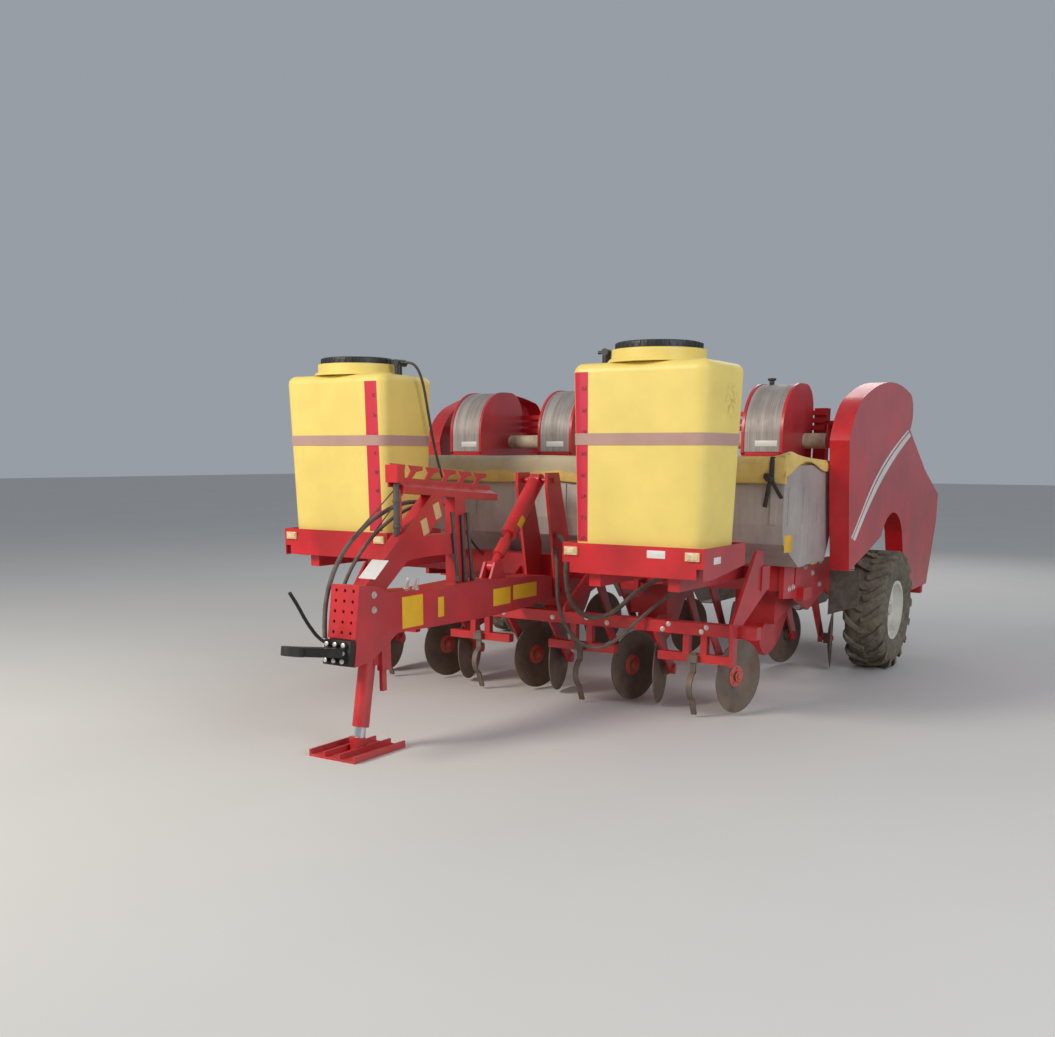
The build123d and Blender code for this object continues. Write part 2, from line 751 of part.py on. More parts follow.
# Lift cylinder: the barrel hangs from the tower's pin, the rod's eye is at the drawbar's pin
upper = (ahead(upper_pin_ahead), upper_pin_z)
lower = (ahead(lower_pin_ahead), lower_pin_z)
lift_length = math.hypot(lower[0] - upper[0], lower[1] - upper[1])
lift_dir = (0, (lower[0] - upper[0]) / lift_length, (lower[1] - upper[1]) / lift_length)
lift_plane = Plane(origin=(0, *upper), x_dir=(1, 0, 0), z_dir=lift_dir)
eye_r = 38
rod_eye_r = 34
rod_eye_hole_r = pin_d / 2 + 8
gland = lift_length * gland_share
with BuildPart() as lift_barrel:
    with BuildSketch(lift_plane.offset(eye_r - 12)):
        Circle(barrel_d / 2)
    extrude(amount=gland - eye_r + 12)
    with Locations(lift_plane):
        Cylinder(eye_r, 70, rotation=(0, 90, 0))
        Cylinder(pin_d / 2 + seat_gap, 80, rotation=(0, 90, 0), mode=Mode.SUBTRACT)
    with BuildSketch(lift_plane.offset(gland)):
        Circle(rod_d / 2 + seat_gap)
    extrude(amount=-(gland - eye_r - 30), mode=Mode.SUBTRACT)
lift_barrel.part.label = "lift_barrel"
export_step(lift_barrel.part, "parts/lift_barrel.step")

with BuildPart() as lift_rod:
    with BuildSketch(lift_plane.offset(eye_r + 130)):
        Circle(rod_d / 2)
    extrude(amount=lift_length - eye_r - 130 - rod_eye_r + 8)
    with BuildSketch(lift_plane.offset(gland + rod_sleeve_gap)):
        Circle(rod_sleeve_d / 2)
    extrude(amount=lift_length - gland - rod_sleeve_gap - rod_sleeve_end)
    with Locations(lift_plane.offset(lift_length)):
        Cylinder(rod_eye_r, 2 * lug_in - 4, rotation=(0, 90, 0))
        Cylinder(rod_eye_hole_r, 60, rotation=(0, 90, 0), mode=Mode.SUBTRACT)
lift_rod.part.label = "lift_rod"
export_step(lift_rod.part, "parts/lift_rod.step")

# Liquid tanks with their lids, vents, straps and trays
def tank_outline(z, grow):
    """Sketches the tank's rounded outline at a height, grown outwards all round."""
    share = (z - tank_bottom_z) / (tank_top_z - tank_bottom_z)
    inset = tank_taper * (1 - share)
    RectangleRounded(
        tank_width + 2 * (grow - inset), tank_depth + 2 * (grow - inset), tank_corner + grow
    )


for name, side in sides:
    with BuildPart() as tank:
        for z in (tank_bottom_z, tank_top_z):
            with BuildSketch(Plane.XY.offset(z)):
                with Locations((side * tank_mid_x, tank_mid_y)):
                    tank_outline(z, 0)
        loft()
        fillet(tank.edges().group_by(Axis.Z)[-1], 48)
        fillet(tank.edges().group_by(Axis.Z)[0], 30)
        with BuildSketch(Plane.XY.offset(tank_top_z)):
            with Locations((side * tank_mid_x, tank_mid_y)):
                Circle(collar_d / 2 + 26)
        extrude(amount=18, taper=35)
        with BuildSketch(Plane.XY.offset(tank_top_z)):
            with Locations((side * tank_mid_x, tank_mid_y)):
                Circle(collar_d / 2)
                Circle(lid_d / 2 - 20, mode=Mode.SUBTRACT)
        extrude(amount=collar_top_z - tank_top_z)
    tank.part.label = f"tank_{name}"
    export_step(tank.part, f"parts/tank_{name}.step")

    hinge_y = tank_mid_y + lid_d / 2 + 14
    with BuildPart() as tank_lid:
        with BuildSketch(Plane.XY.offset(collar_top_z + seat_gap)):
            with Locations((side * tank_mid_x, tank_mid_y)):
                Circle(lid_d / 2)
        extrude(amount=lid_height)
        fillet(tank_lid.edges().group_by(Axis.Z)[-1], 10)
        with Locations((side * tank_mid_x, hinge_y - 12, collar_top_z + 20)):
            Box(70, 36, 14)
        with Locations((side * tank_mid_x, hinge_y, collar_top_z + 20)):
            Cylinder(9, 70, rotation=(0, 90, 0))
            Cylinder(4.3, 72, rotation=(0, 90, 0), mode=Mode.SUBTRACT)
    tank_lid.part.label = f"tank_lid_{name}"
    export_step(tank_lid.part, f"parts/tank_lid_{name}.step")

# Lid hinges: two ears and a pin behind each lid, standing on the collar
with BuildPart() as lid_hinges:
    for side in (-1, 1):
        for end in (-1, 1):
            with Locations((side * tank_mid_x + end * 44, hinge_y, collar_top_z + 16)):
                Box(8, 20, 32)
        with Locations((side * tank_mid_x, hinge_y, collar_top_z + 20)):
            Cylinder(4, 100, rotation=(0, 90, 0))
lid_hinges.part.label = "lid_hinges"
export_step(lid_hinges.part, "parts/lid_hinges.step")

with BuildPart() as tank_vents:
    for side in (-1, 1):
        vent_at = (side * (tank_mid_x - vent_x), tank_mid_y)
        with BuildSketch(Plane.XY.offset(tank_top_z)):
            with Locations(vent_at):
                Circle(vent_d / 2)
        extrude(amount=72)
        with Locations((vent_at[0], vent_at[1] + 20, tank_top_z + 72)):
            Cylinder(vent_d / 2 - 3, 90, rotation=(90, 0, 0))
        with Locations((vent_at[0] - side * nozzle_reach / 2, vent_at[1], tank_top_z + 72)):
            Cylinder(9, nozzle_reach, rotation=(0, 90, 0))
tank_vents.part.label = "tank_vents"
export_step(tank_vents.part, "parts/tank_vents.step")

with BuildPart() as tank_straps:
    for side in (-1, 1):
        for grow, mode in ((strap_thick, Mode.ADD), (seat_gap, Mode.SUBTRACT)):
            for z in (strap_z - strap_height / 2, strap_z + strap_height / 2):
                with BuildSketch(Plane.XY.offset(z)):
                    with Locations((side * tank_mid_x, tank_mid_y)):
                        tank_outline(z, grow)
            loft(mode=mode)
tank_straps.part.label = "tank_straps"
export_step(tank_straps.part, "parts/tank_straps.step")

tray_grow = 20
tray_floor_z = tray_beam_top + 60
tray_front_y = tank_mid_y - tank_depth / 2 - tray_grow
with BuildPart() as tank_trays:
    for side in (-1, 1):
        with BuildSketch(Plane.XY.offset(tray_floor_z)):
            with Locations((side * tank_mid_x, tank_mid_y)):
                Rectangle(tank_width + 2 * tray_grow, tank_depth + 2 * tray_grow)
        extrude(amount=tray_top_z - tray_floor_z)
        with BuildSketch(Plane.XY.offset(tank_bottom_z - seat_gap)):
            with Locations((side * tank_mid_x, tank_mid_y)):
                Rectangle(tank_width + 2 * (tray_grow - tray_wall), tank_depth + 2 * (tray_grow - tray_wall))
        extrude(amount=tray_top_z - tank_bottom_z + seat_gap, mode=Mode.SUBTRACT)
        block(
            (side * tank_mid_x - tank_width / 2 + 65, tank_mid_y - tank_depth / 2 + 5, tray_beam_top + seat_gap),
            (side * tank_mid_x + tank_width / 2 - 65, tank_mid_y + tank_depth / 2 - 5, tray_floor_z),
        )
        block(
            (side * tank_mid_x - tank_width / 2 + 25, tray_front_y, tray_beam_top + 5),
            (side * tank_mid_x + tank_width / 2 - 25, tray_front_y + 36, tray_floor_z),
        )
        with BuildSketch(side_plane(side * (tank_outer_x + tray_grow - tray_wall / 2))):
            Polygon(
                (tray_front_y, tray_floor_z),
                (tray_front_y, tray_beam_top),
                (tray_front_y + 130, tray_beam_top),
                (tray_front_y + tank_depth + 2 * tray_grow, tray_floor_z - 14),
                (tray_front_y + tank_depth + 2 * tray_grow, tray_floor_z),
                align=None,
            )
        extrude(amount=tray_wall / 2, both=True)
tank_trays.part.label = "tank_trays"
export_step(tank_trays.part, "parts/tank_trays.step")

# Hopper: an open trough whose end walls run back beside the planting units
hopper_low = beam_high + hopper_wall + seat_gap
with BuildPart() as hopper:
    with BuildSketch(side_plane(0)):
        with BuildLine():
            outline = Polyline(
                (ahead(hopper_rear_ahead), hopper_top_z),
                (ahead(hopper_rear_ahead), hopper_low + 40),
                (ahead(hopper_rear_ahead + 60), hopper_low),
                (ahead(hopper_front_ahead - 300), hopper_low),
                (ahead(hopper_front_ahead - 20), hopper_low + 150),
                (ahead(hopper_front_ahead), hopper_low + 260),
                (ahead(hopper_front_ahead), hopper_top_z),
            )
            offset(amount=hopper_wall, side=Side.LEFT)
        make_face()
    extrude(amount=hopper_half, both=True)
    for side in (-1, 1):
        with BuildSketch(side_plane(side * (hopper_half - hopper_wall / 2))):
            side_shape((
                (hopper_rear_ahead, hopper_top_z),
                (hopper_front_ahead, hopper_top_z),
                (hopper_front_ahead, hopper_low + 260),
                (hopper_front_ahead - 20, hopper_low + 150),
                (hopper_front_ahead - 300, hopper_low),
                (1060, hopper_low),
                (860, 1180),
                (860, hopper_top_z),
            ))
        extrude(amount=hopper_wall / 2, both=True)
        rib_xs = sorted((side * (hopper_half - 1), side * (hopper_half + hopper_rib)))
        for rib_ahead in (hopper_front_ahead - 70, hopper_front_ahead - 330, hopper_front_ahead - 590):
            block(
                (rib_xs[0], ahead(rib_ahead + 12), hopper_low + 262),
                (rib_xs[1], ahead(rib_ahead - 12), hopper_top_z - 125),
            )
    rib_count = 9
    for i in range(rib_count):
        rib_x = (2 * i / (rib_count - 1) - 1) * (hopper_half - 60)
        block(
            (rib_x - 18, ahead(hopper_front_ahead + hopper_wall + hopper_rib), hopper_low + 262),
            (rib_x + 18, ahead(hopper_front_ahead + hopper_wall - 1), hopper_top_z - 125),
        )
hopper.part.label = "hopper"
export_step(hopper.part, "parts/hopper.step")

# Hopper cover: a cloth laid over the front and end walls of the hopper
hopper_end_ahead = 860
with BuildPart() as hopper_cover:
    cover_top_z = hopper_top_z + 52
    block(
        (-hopper_half - cover_side, ahead(hopper_front_ahead + cover_half_depth), cover_top_z - cover_height),
        (hopper_half + cover_side, ahead(hopper_front_ahead - cover_half_depth), cover_top_z),
    )
    for side in (-1, 1):
        edge = side * hopper_half
        block(
            (edge - cover_side, ahead(hopper_front_ahead), cover_top_z - 110),
            (edge + cover_side, ahead(hopper_end_ahead), cover_top_z),
        )
    block(
        (-hopper_half - 1, ahead(hopper_front_ahead + hopper_wall + 1), cover_top_z - cover_height - 1),
        (hopper_half + 1, ahead(hopper_front_ahead - 1), hopper_top_z + seat_gap),
        Mode.SUBTRACT,
    )
    for side in (-1, 1):
        edge = side * (hopper_half - hopper_wall / 2)
        block(
            (edge - 4, ahead(hopper_front_ahead) - 1, cover_top_z - cover_height - 1),
            (edge + 4, ahead(hopper_end_ahead) + 1, hopper_top_z + seat_gap),
            Mode.SUBTRACT,
        )
    block(
        (-hopper_half - 1, ahead(hopper_rear_ahead + 1), cover_top_z - cover_height - 1),
        (hopper_half + 1, ahead(hopper_rear_ahead - hopper_wall - 1), hopper_top_z + seat_gap),
        Mode.SUBTRACT,
    )
hopper_cover.part.label = "hopper_cover"
export_step(hopper_cover.part, "parts/hopper_cover.step")


# Planting units: tall housings with a domed head, and a ribbed cover over each dome
def unit_outline(grow):
    """Adds the side outline of a unit's housing, grown by this much round its dome."""
    front = ahead(front_beam_rear) - grow
    top = unit_top_z + grow
    rear = ahead(rear_beam_front) - 40 + grow
    radius = dome_r + grow
    with BuildLine() as line:
        rise = Line((ahead(front_beam_rear), unit_bottom_z), (ahead(front_beam_rear), 1500))
        lead = Line(rise @ 1, (front, 1500 + grow))
        wall = Line(lead @ 1, (front, top - radius))
        nose = RadiusArc(wall @ 1, (front + radius, top), radius)
        crown = Line(nose @ 1, (rear - 160, top))
        tail = RadiusArc(crown @ 1, (rear, top - 160), 160)
        Polyline(
            tail @ 1,
            (rear, 1250),
            (ahead(rear_beam_front), 1000),
            (ahead(rear_beam_front), unit_bottom_z + unit_rise),
            rise @ 0,
        )
    return line


def unit_floor(distance):
    """The height of a housing's sloping floor at this place."""
    return unit_bottom_z + unit_rise * (front_beam_rear - distance) / (front_beam_rear - rear_beam_front)


core_proud = 2
with BuildPart() as planting_units:
    for x in rows:
        for centre, half, grow in (
            (x, unit_half - rim_plate, core_proud),
            (x - unit_half + rim_plate / 2, rim_plate / 2, rim_proud),
            (x + unit_half - rim_plate / 2, rim_plate / 2, rim_proud),
        ):
            with BuildSketch(side_plane(centre)):
                add(unit_outline(grow).line)
                make_face()
            extrude(amount=half, both=True)
planting_units.part.label = "planting_units"
export_step(planting_units.part, "parts/planting_units.step")

with BuildPart() as unit_covers:
    for x in rows:
        with BuildSketch(side_plane(x)):
            with BuildLine():
                front = ahead(front_beam_rear) - core_proud - seat_gap
                top = unit_top_z + core_proud + seat_gap
                radius = dome_r + core_proud + seat_gap
                wall = Line((front, 1520), (front, top - radius))
                nose = RadiusArc(wall @ 1, (front + radius, top), radius)
                Line(nose @ 1, (front + radius + 60, top))
                offset(amount=cover_thick, side=Side.LEFT)
            make_face()
        extrude(amount=unit_half - rim_plate - 2, both=True)
unit_covers.part.label = "unit_covers"
export_step(unit_covers.part, "parts/unit_covers.step")

# Rails behind the units, and the rollers between them
rail_zs = (unit_top_z - 255, unit_top_z - 208, unit_top_z - 160)
rail_thick = 25
rail_height = 30
rail_rear = rear_beam_front + seat_gap
with BuildPart() as unit_rails:
    for z in rail_zs:
        block(
            (-upright_x - upright / 2, ahead(rail_rear + rail_thick), z - rail_height / 2),
            (upright_x + upright / 2, ahead(rail_rear), z + rail_height / 2),
        )
unit_rails.part.label = "unit_rails"
export_step(unit_rails.part, "parts/unit_rails.step")

with BuildPart() as hopper_rollers:
    edges_x = [-roller_reach] + [x + s * unit_half for x in rows for s in (-1, 1)] + [roller_reach]
    for i in range(0, len(edges_x), 2):
        low_x, high_x = edges_x[i] + seat_gap, edges_x[i + 1] - seat_gap
        with Locations(((low_x + high_x) / 2, ahead(roller_ahead), roller_z)):
            Cylinder(roller_d / 2, high_x - low_x, rotation=(0, 90, 0))
hopper_rollers.part.label = "hopper_rollers"
export_step(hopper_rollers.part, "parts/hopper_rollers.step")

# Side hoods: pressed sheets with a folded edge all round and an arch over the wheel
for name, side in sides:
    with BuildPart() as hood:
        with BuildSketch(Plane.YZ) as shape:
            with BuildLine():
                foot_front = Line((ahead(1020), 780), (ahead(1110), 1230))
                front = Line(foot_front @ 1, (ahead(1170), 1590))
                brow = ThreePointArc(front @ 1, (ahead(1060), 1765), (ahead(880), 1868))
                crown = ThreePointArc(brow @ 1, (ahead(360), 1975), (ahead(-160), 1930))
                bulge = ThreePointArc(crown @ 1, (ahead(-285), 1830), (ahead(-240), 1680))
                slope = Line(bulge @ 1, (ahead(-760), 1395))
                tail = Line(slope @ 1, (axle_y + rear_reach - 4, 1204))
                Polyline(
                    tail @ 1,
                    (axle_y + rear_reach, 1000),
                    (ahead(-1060), 510),
                    (ahead(-630), 500),
                    (ahead(-300), 750),
                    (ahead(-215), 960),
                )
                arch = ThreePointArc((ahead(-215), 960), (ahead(60), 1110), (ahead(330), 960))
                Polyline(arch @ 1, (ahead(620), 880), foot_front @ 0)
            make_face()
        extrude(amount=hood_flange)
        with BuildSketch(Plane.YZ):
            add(shape.sketch_local)
            offset(amount=-hood_sheet, mode=Mode.REPLACE)
        extrude(amount=hood_flange - hood_sheet, mode=Mode.SUBTRACT)
    hood_part = hood.part if side > 0 else hood.part.mirror(Plane.YZ)
    placed = hood_part.moved(Location((side * (hood_outer_x - hood_flange), 0, 0)))
    placed.label = f"side_hood_{name}"
    export_step(placed, f"parts/side_hood_{name}.step")

# Furrow openers: a curved share under the front of each unit, its sides drawn in to the front
opener_low_z = 240
opener_back = front_beam_rear - 380
opener_half = 95
with BuildPart() as furrow_openers:
    for x in rows:
        with BuildPart(mode=Mode.PRIVATE) as opener:
            with BuildSketch(side_plane(x)):
                with BuildLine():
                    breast = ThreePointArc(
                        (ahead(front_beam_rear), unit_bottom_z - seat_gap),
                        (ahead(front_beam_rear + 45), unit_bottom_z - 110),
                        (ahead(front_beam_rear - 20), opener_low_z),
                    )
                    belly = ThreePointArc(
                        breast @ 1,
                        (ahead(front_beam_rear - 230), opener_low_z + 110),
                        (ahead(opener_back), unit_floor(opener_back) - seat_gap),
                    )
                    Line(belly @ 1, breast @ 0)
                make_face()
            extrude(amount=unit_half, both=True)
            with BuildSketch(Plane.XY):
                with BuildLine():
                    nose_y = ahead(front_beam_rear + 160)
                    swell_y = ahead(front_beam_rear - 10)
                    full_y = ahead(front_beam_rear - 180)
                    tail_y = ahead(opener_back - 60)
                    swell = opener_half * 0.8
                    ThreePointArc((x, nose_y), (x + swell, swell_y), (x + opener_half, full_y))
                    Polyline(
                        (x + opener_half, full_y),
                        (x + opener_half, tail_y),
                        (x - opener_half, tail_y),
                        (x - opener_half, full_y),
                    )
                    ThreePointArc((x - opener_half, full_y), (x - swell, swell_y), (x, nose_y))
                make_face()
            extrude(amount=unit_bottom_z + unit_rise, mode=Mode.INTERSECT)
        add(opener.part)
furrow_openers.part.label = "furrow_openers"
export_step(furrow_openers.part, "parts/furrow_openers.step")

# Front toolbar: the long tube, and a small frame at each row that carries its tine
low_top = low_bar_z + low_bar / 2
tool_bottom = tool_z - tool_tube / 2
with BuildPart() as front_toolbar:
    block(
        (-tool_half, ahead(tool_ahead) - tool_tube / 2, tool_bottom),
        (tool_half, ahead(tool_ahead) + tool_tube / 2, tool_top - seat_gap),
    )
    for x in rows:
        block(
            (x - low_bar_half, ahead(tool_ahead) - low_bar / 2, low_bar_z - low_bar / 2),
            (x + low_bar_half, ahead(tool_ahead) + low_bar / 2, low_top),
        )
        for post in (-post_offset, post_offset):
            block(
                (x + post - 20, ahead(tool_ahead) - 20, low_top),
                (x + post + 20, ahead(tool_ahead) + 20, tool_bottom),
            )
front_toolbar.part.label = "front_toolbar"
export_step(front_toolbar.part, "parts/front_toolbar.step")

with BuildPart() as front_tines:
    for x in rows:
        shank_y = ahead(tool_ahead + low_bar / 2 + seat_gap)
        with BuildSketch(side_plane(x)):
            with BuildLine():
                shank = Line((shank_y, low_top + 10), (shank_y, low_bar_z - 85))
                bow = ThreePointArc(shank @ 1, (shank_y - 52, low_bar_z - 165), (shank_y - 8, low_bar_z - 235))
                Line(bow @ 1, (shank_y + 34, tine_tip_z))
                offset(amount=tine_thick, side=Side.RIGHT)
            make_face()
        extrude(amount=tine_width / 2, both=True)
        block(
            (x - 30, shank_y - tine_thick - 16, low_bar_z - 22),
            (x + 30, shank_y - tine_thick / 2, low_bar_z + 22),
        )
front_tines.part.label = "front_tines"
export_step(front_tines.part, "parts/front_tines.step")

# Discs: each turns on a spindle at the end of an arm
outward_offsets = ((rows[-1], (-325, 175)), (rows[-2], (-295, 245)))
front_disc_xs = sorted(
    side * (row + offset) for side in (-1, 1) for row, offsets in outward_offsets for offset in offsets
)
front_disc_table = [(x, 1 if number % 2 == 0 else -1) for number, x in enumerate(front_disc_xs)]
disc_dish = 22
disc_hub_r = 38
disc_hub_length = 30
disc_cap_r = 30
disc_cap_length = 14
flat_r = 70
spindle_d = 28
bearing_length = 34
arm_thick = 16
rear_disc_table = [(x + s * rear_disc_offset, s) for x in rows for s in (-1, 1)]


def disc_place(x, distance, diameter, turn, arm_side):
    """Where a disc's centre is, with its own -X axis pointing to its arm."""
    return Location((x, ahead(distance), disc_clear + diameter / 2), (0, 0, turn + (180 if arm_side > 0 else 0)))


def arm_x(place):
    """The X place of the arm that carries the disc standing at this place."""
    reach = disc_dish + disc_hub_length + disc_clear / 2 + bearing_length / 2
    return (place * Location((-reach, 0, 0))).position.X


front_discs = [
    (disc_place(x, front_disc_ahead, front_disc_d, side * front_disc_angle, side), front_disc_d)
    for x, side in front_disc_table
]
rear_discs = [
    (disc_place(x, rear_disc_ahead, rear_disc_d, side * rear_disc_angle, -side), rear_disc_d)
    for x, side in rear_disc_table
]
for kind, discs in (("front_disc", front_discs), ("rear_disc", rear_discs)):
    for number, (place, diameter) in enumerate(discs, 1):
        with BuildPart() as disc:
            with BuildSketch(Plane.XY):
                with BuildLine():
                    Polyline(
                        (-disc_dish, 0),
                        (-disc_dish, flat_r),
                        (0, diameter / 2),
                        (disc_thick, diameter / 2),
                        (disc_thick - disc_dish, flat_r),
                        (disc_thick - disc_dish, 0),
                        close=True,
                    )
                make_face()
            revolve(axis=Axis.X)
            with BuildSketch(Plane.YZ.offset(2 - disc_dish)):
                Circle(disc_hub_r)
            extrude(amount=-disc_hub_length - 2)
            with BuildSketch(Plane.YZ.offset(-disc_dish)):
                Circle(disc_cap_r)
            extrude(amount=disc_thick + disc_cap_length)
            with BuildSketch(Plane.YZ.offset(-disc_dish - disc_hub_length)):
                Circle(spindle_d / 2 + seat_gap)
            extrude(amount=disc_hub_length - 4, mode=Mode.SUBTRACT)
        placed = disc.part.moved(place)
        placed.label = f"{kind}_{number}"
        export_step(placed, f"parts/{kind}_{number}.step")

arm_sets = (
    ("front_disc_arms", front_discs, (
        (tool_ahead + 30, tool_bottom - seat_gap),
        (tool_ahead - 34, tool_bottom - seat_gap),
        (front_disc_ahead - 28, disc_clear + front_disc_d / 2 + 26),
        (front_disc_ahead - 28, disc_clear + front_disc_d / 2 - 22),
        (front_disc_ahead + 26, disc_clear + front_disc_d / 2 - 22),
    )),
    ("rear_disc_arms", rear_discs, (
        (rear_beam_rear - seat_gap, beam_high - 10),
        (rear_beam_rear - seat_gap, beam_low + 10),
        (rear_disc_ahead + 26, disc_clear + rear_disc_d / 2 - 22),
        (rear_disc_ahead - 28, disc_clear + rear_disc_d / 2 - 22),
        (rear_disc_ahead - 28, disc_clear + rear_disc_d / 2 + 26),
        (rear_disc_ahead + 60, disc_clear + rear_disc_d / 2 + 160),
        (rear_beam_rear - 70, beam_high - 10),
    )),
)
for label, discs, outline in arm_sets:
    with BuildPart() as arms:
        for place, diameter in discs:
            with BuildSketch(side_plane(arm_x(place))):
                side_shape(outline)
            extrude(amount=arm_thick / 2, both=True)
            bearing_face = Plane(place * Location((-disc_dish - disc_hub_length - disc_clear / 2, 0, 0), (0, -90, 0)))
            with BuildSketch(bearing_face):
                Circle(disc_hub_r - 6)
            extrude(amount=bearing_length)
            with BuildSketch(bearing_face):
                Circle(spindle_d / 2)
            extrude(amount=-disc_clear / 2 - disc_hub_length + 8)
    arms.part.label = label
    export_step(arms.part, f"parts/{label}.step")

# Ridging hood: a pressed sheet behind the wheels with a tunnel over each row
with BuildPart() as ridging_hood:
    with BuildSketch(Plane(origin=(0, ahead(ridge_front_ahead), 0), x_dir=(1, 0, 0), z_dir=(0, -1, 0))):
        with BuildLine():
            points = []
            for x in rows:
                points += [
                    (x - ridge_low_half, ridge_low_z),
                    (x - ridge_top_half, ridge_top_z),
                    (x + ridge_top_half, ridge_top_z),
                    (x + ridge_low_half, ridge_low_z),
                ]
            Polyline(*points)
            offset(amount=ridge_sheet, side=Side.LEFT)
        make_face()
    extrude(amount=ridge_rear_ahead - ridge_front_ahead)
ridging_hood.part.label = "ridging_hood"
export_step(ridging_hood.part, "parts/ridging_hood.step")

# Lamps: two on each tray's front lip, and one at the end of each rear arm
tray_lamp = (76, 14, 44)
rear_lamp = (120, 30, 80)
rear_arm_end = ridge_rear_ahead + 130
with BuildPart() as lamps:
    for side in (-1, 1):
        for x in (tank_inner_x + 35, tank_outer_x - 45):
            with Locations((side * x, tray_front_y - seat_gap - tray_lamp[1] / 2, tray_top_z - 42)):
                Box(*tray_lamp)
        with Locations((side * rows[-2], ahead(rear_arm_end) + seat_gap + rear_lamp[1] / 2, rear_arm_low + 40)):
            Box(*rear_lamp)
lamps.part.label = "lamps"
export_step(lamps.part, "parts/lamps.step")

# Hoses: each ends face to face with its stubs, and a tow hose with its coupler
for name, (diameter, start_stub, end_stub, places) in hoses.items():
    route = [
        moved_on(places[0], places[1], start_stub * stub_reach + seat_gap),
        *places[1:-1],
        moved_on(places[-1], places[-2], end_stub * stub_reach + seat_gap),
    ]
    with BuildPart() as hose:
        length = tube_along(route, diameter)
    print(name, "length", round(length), "section times length", round(length * math.pi * diameter ** 2 / 4),
          "volume", round(hose.part.volume), "bends", [round(radius) for radius in bend_radii(route)])
    hose.part.label = name
    export_step(hose.part, f"parts/{name}.step")

with BuildPart() as hose_couplers:
    for name in ("tow_hose_1", "tow_hose_2"):
        places = hoses[name][-1]
        end = Plane(origin=places[-1], z_dir=Vector(*places[-1]) - Vector(*places[-2]))
        for start, reach, proud in ((0, 30, 5), (25, 35, 1)):
            with BuildSketch(end.offset(start)):
                Circle(hoses[name][0] / 2 + proud)
            extrude(amount=reach)
hose_couplers.part.label = "hose_couplers"
export_step(hose_couplers.part, "parts/hose_couplers.step")

# Flaps: a rubber sheet in front of each wheel, hung from the wheel leg
flap_thick = 8
flap_ahead = rear_beam_rear - 40
with BuildPart() as wheel_flaps:
    for side in (-1, 1):
        xs = sorted((side * (beam_half + leg_thick + seat_gap), side * (hood_inner_x - 40)))
        with BuildSketch(Plane(origin=(0, ahead(flap_ahead), 0), x_dir=(1, 0, 0), z_dir=(0, -1, 0))):
            Polygon(
                (xs[0], beam_low + 70),
                (xs[1], beam_low + 70),
                (xs[1], beam_low - 170) if side > 0 else (xs[1], beam_low - 240),
                (xs[0], beam_low - 240) if side > 0 else (xs[0], beam_low - 170),
                align=None,
            )
        extrude(amount=flap_thick)
wheel_flaps.part.label = "wheel_flaps"
export_step(wheel_flaps.part, "parts/wheel_flaps.step")
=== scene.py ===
# %% [markdown]
# A towed potato planter, dressed for a studio picture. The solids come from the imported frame, in metres,
# with the ground at Z = 0, the tow eye towards -Y and the machine's left side at +X. Everything that is
# added here rides on the body that carries it, so it follows when the machine's joints move.

# %% Load the frame
import json
import math

import bmesh
import bpy
from mathutils import Matrix, Vector, noise


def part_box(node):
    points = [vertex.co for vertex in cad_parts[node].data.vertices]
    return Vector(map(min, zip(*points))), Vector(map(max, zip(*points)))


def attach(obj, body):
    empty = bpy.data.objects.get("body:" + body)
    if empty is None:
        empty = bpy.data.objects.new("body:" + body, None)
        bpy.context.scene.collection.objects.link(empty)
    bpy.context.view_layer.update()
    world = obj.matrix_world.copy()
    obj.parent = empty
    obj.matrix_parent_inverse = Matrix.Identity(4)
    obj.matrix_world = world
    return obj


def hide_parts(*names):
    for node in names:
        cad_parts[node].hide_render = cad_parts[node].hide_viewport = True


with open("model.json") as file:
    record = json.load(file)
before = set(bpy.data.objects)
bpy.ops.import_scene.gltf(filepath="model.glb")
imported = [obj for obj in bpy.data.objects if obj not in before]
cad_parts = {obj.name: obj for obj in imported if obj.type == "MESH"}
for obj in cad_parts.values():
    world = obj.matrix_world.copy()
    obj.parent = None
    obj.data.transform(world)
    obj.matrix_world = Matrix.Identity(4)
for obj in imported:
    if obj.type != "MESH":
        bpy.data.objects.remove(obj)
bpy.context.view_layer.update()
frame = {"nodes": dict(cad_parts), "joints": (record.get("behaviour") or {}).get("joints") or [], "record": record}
nodes = frame["nodes"]

sides = ((1, "left"), (-1, "right"))
upward = Vector((0, 0, 1))


def add_object(name, data):
    """Makes an object of some data and links it to the scene."""
    made = bpy.data.objects.new(name, data)
    bpy.context.scene.collection.objects.link(made)
    return made


# %% [markdown]
# The camera stands ahead of the machine and to its left, a metre and a half up, and looks down slightly. The
# vertical shift stands for the crop of the photograph, whose horizon is above its middle.

# %% Camera
photo_width = 1055
focal_pixels = 1129.76
camera_place = Vector((3.746, -6.601, 1.496))
camera_turn = math.radians(32.39)
camera_dip = math.radians(11.81)
camera_roll = math.radians(0.20)

camera_data = bpy.data.cameras.new("camera")
camera_data.sensor_width = 36
camera_data.lens = focal_pixels / photo_width * camera_data.sensor_width
camera_data.shift_y = 0.1636
camera_data.clip_end = 100
camera = add_object("camera", camera_data)
camera.matrix_world = (
    Matrix.Translation(camera_place)
    @ Matrix.Rotation(camera_turn, 4, "Z")
    @ Matrix.Rotation(math.pi / 2 - camera_dip, 4, "X")
    @ Matrix.Rotation(camera_roll, 4, "Z")
)
bpy.context.scene.camera = camera
print("lens", round(camera_data.lens, 2), "mm")

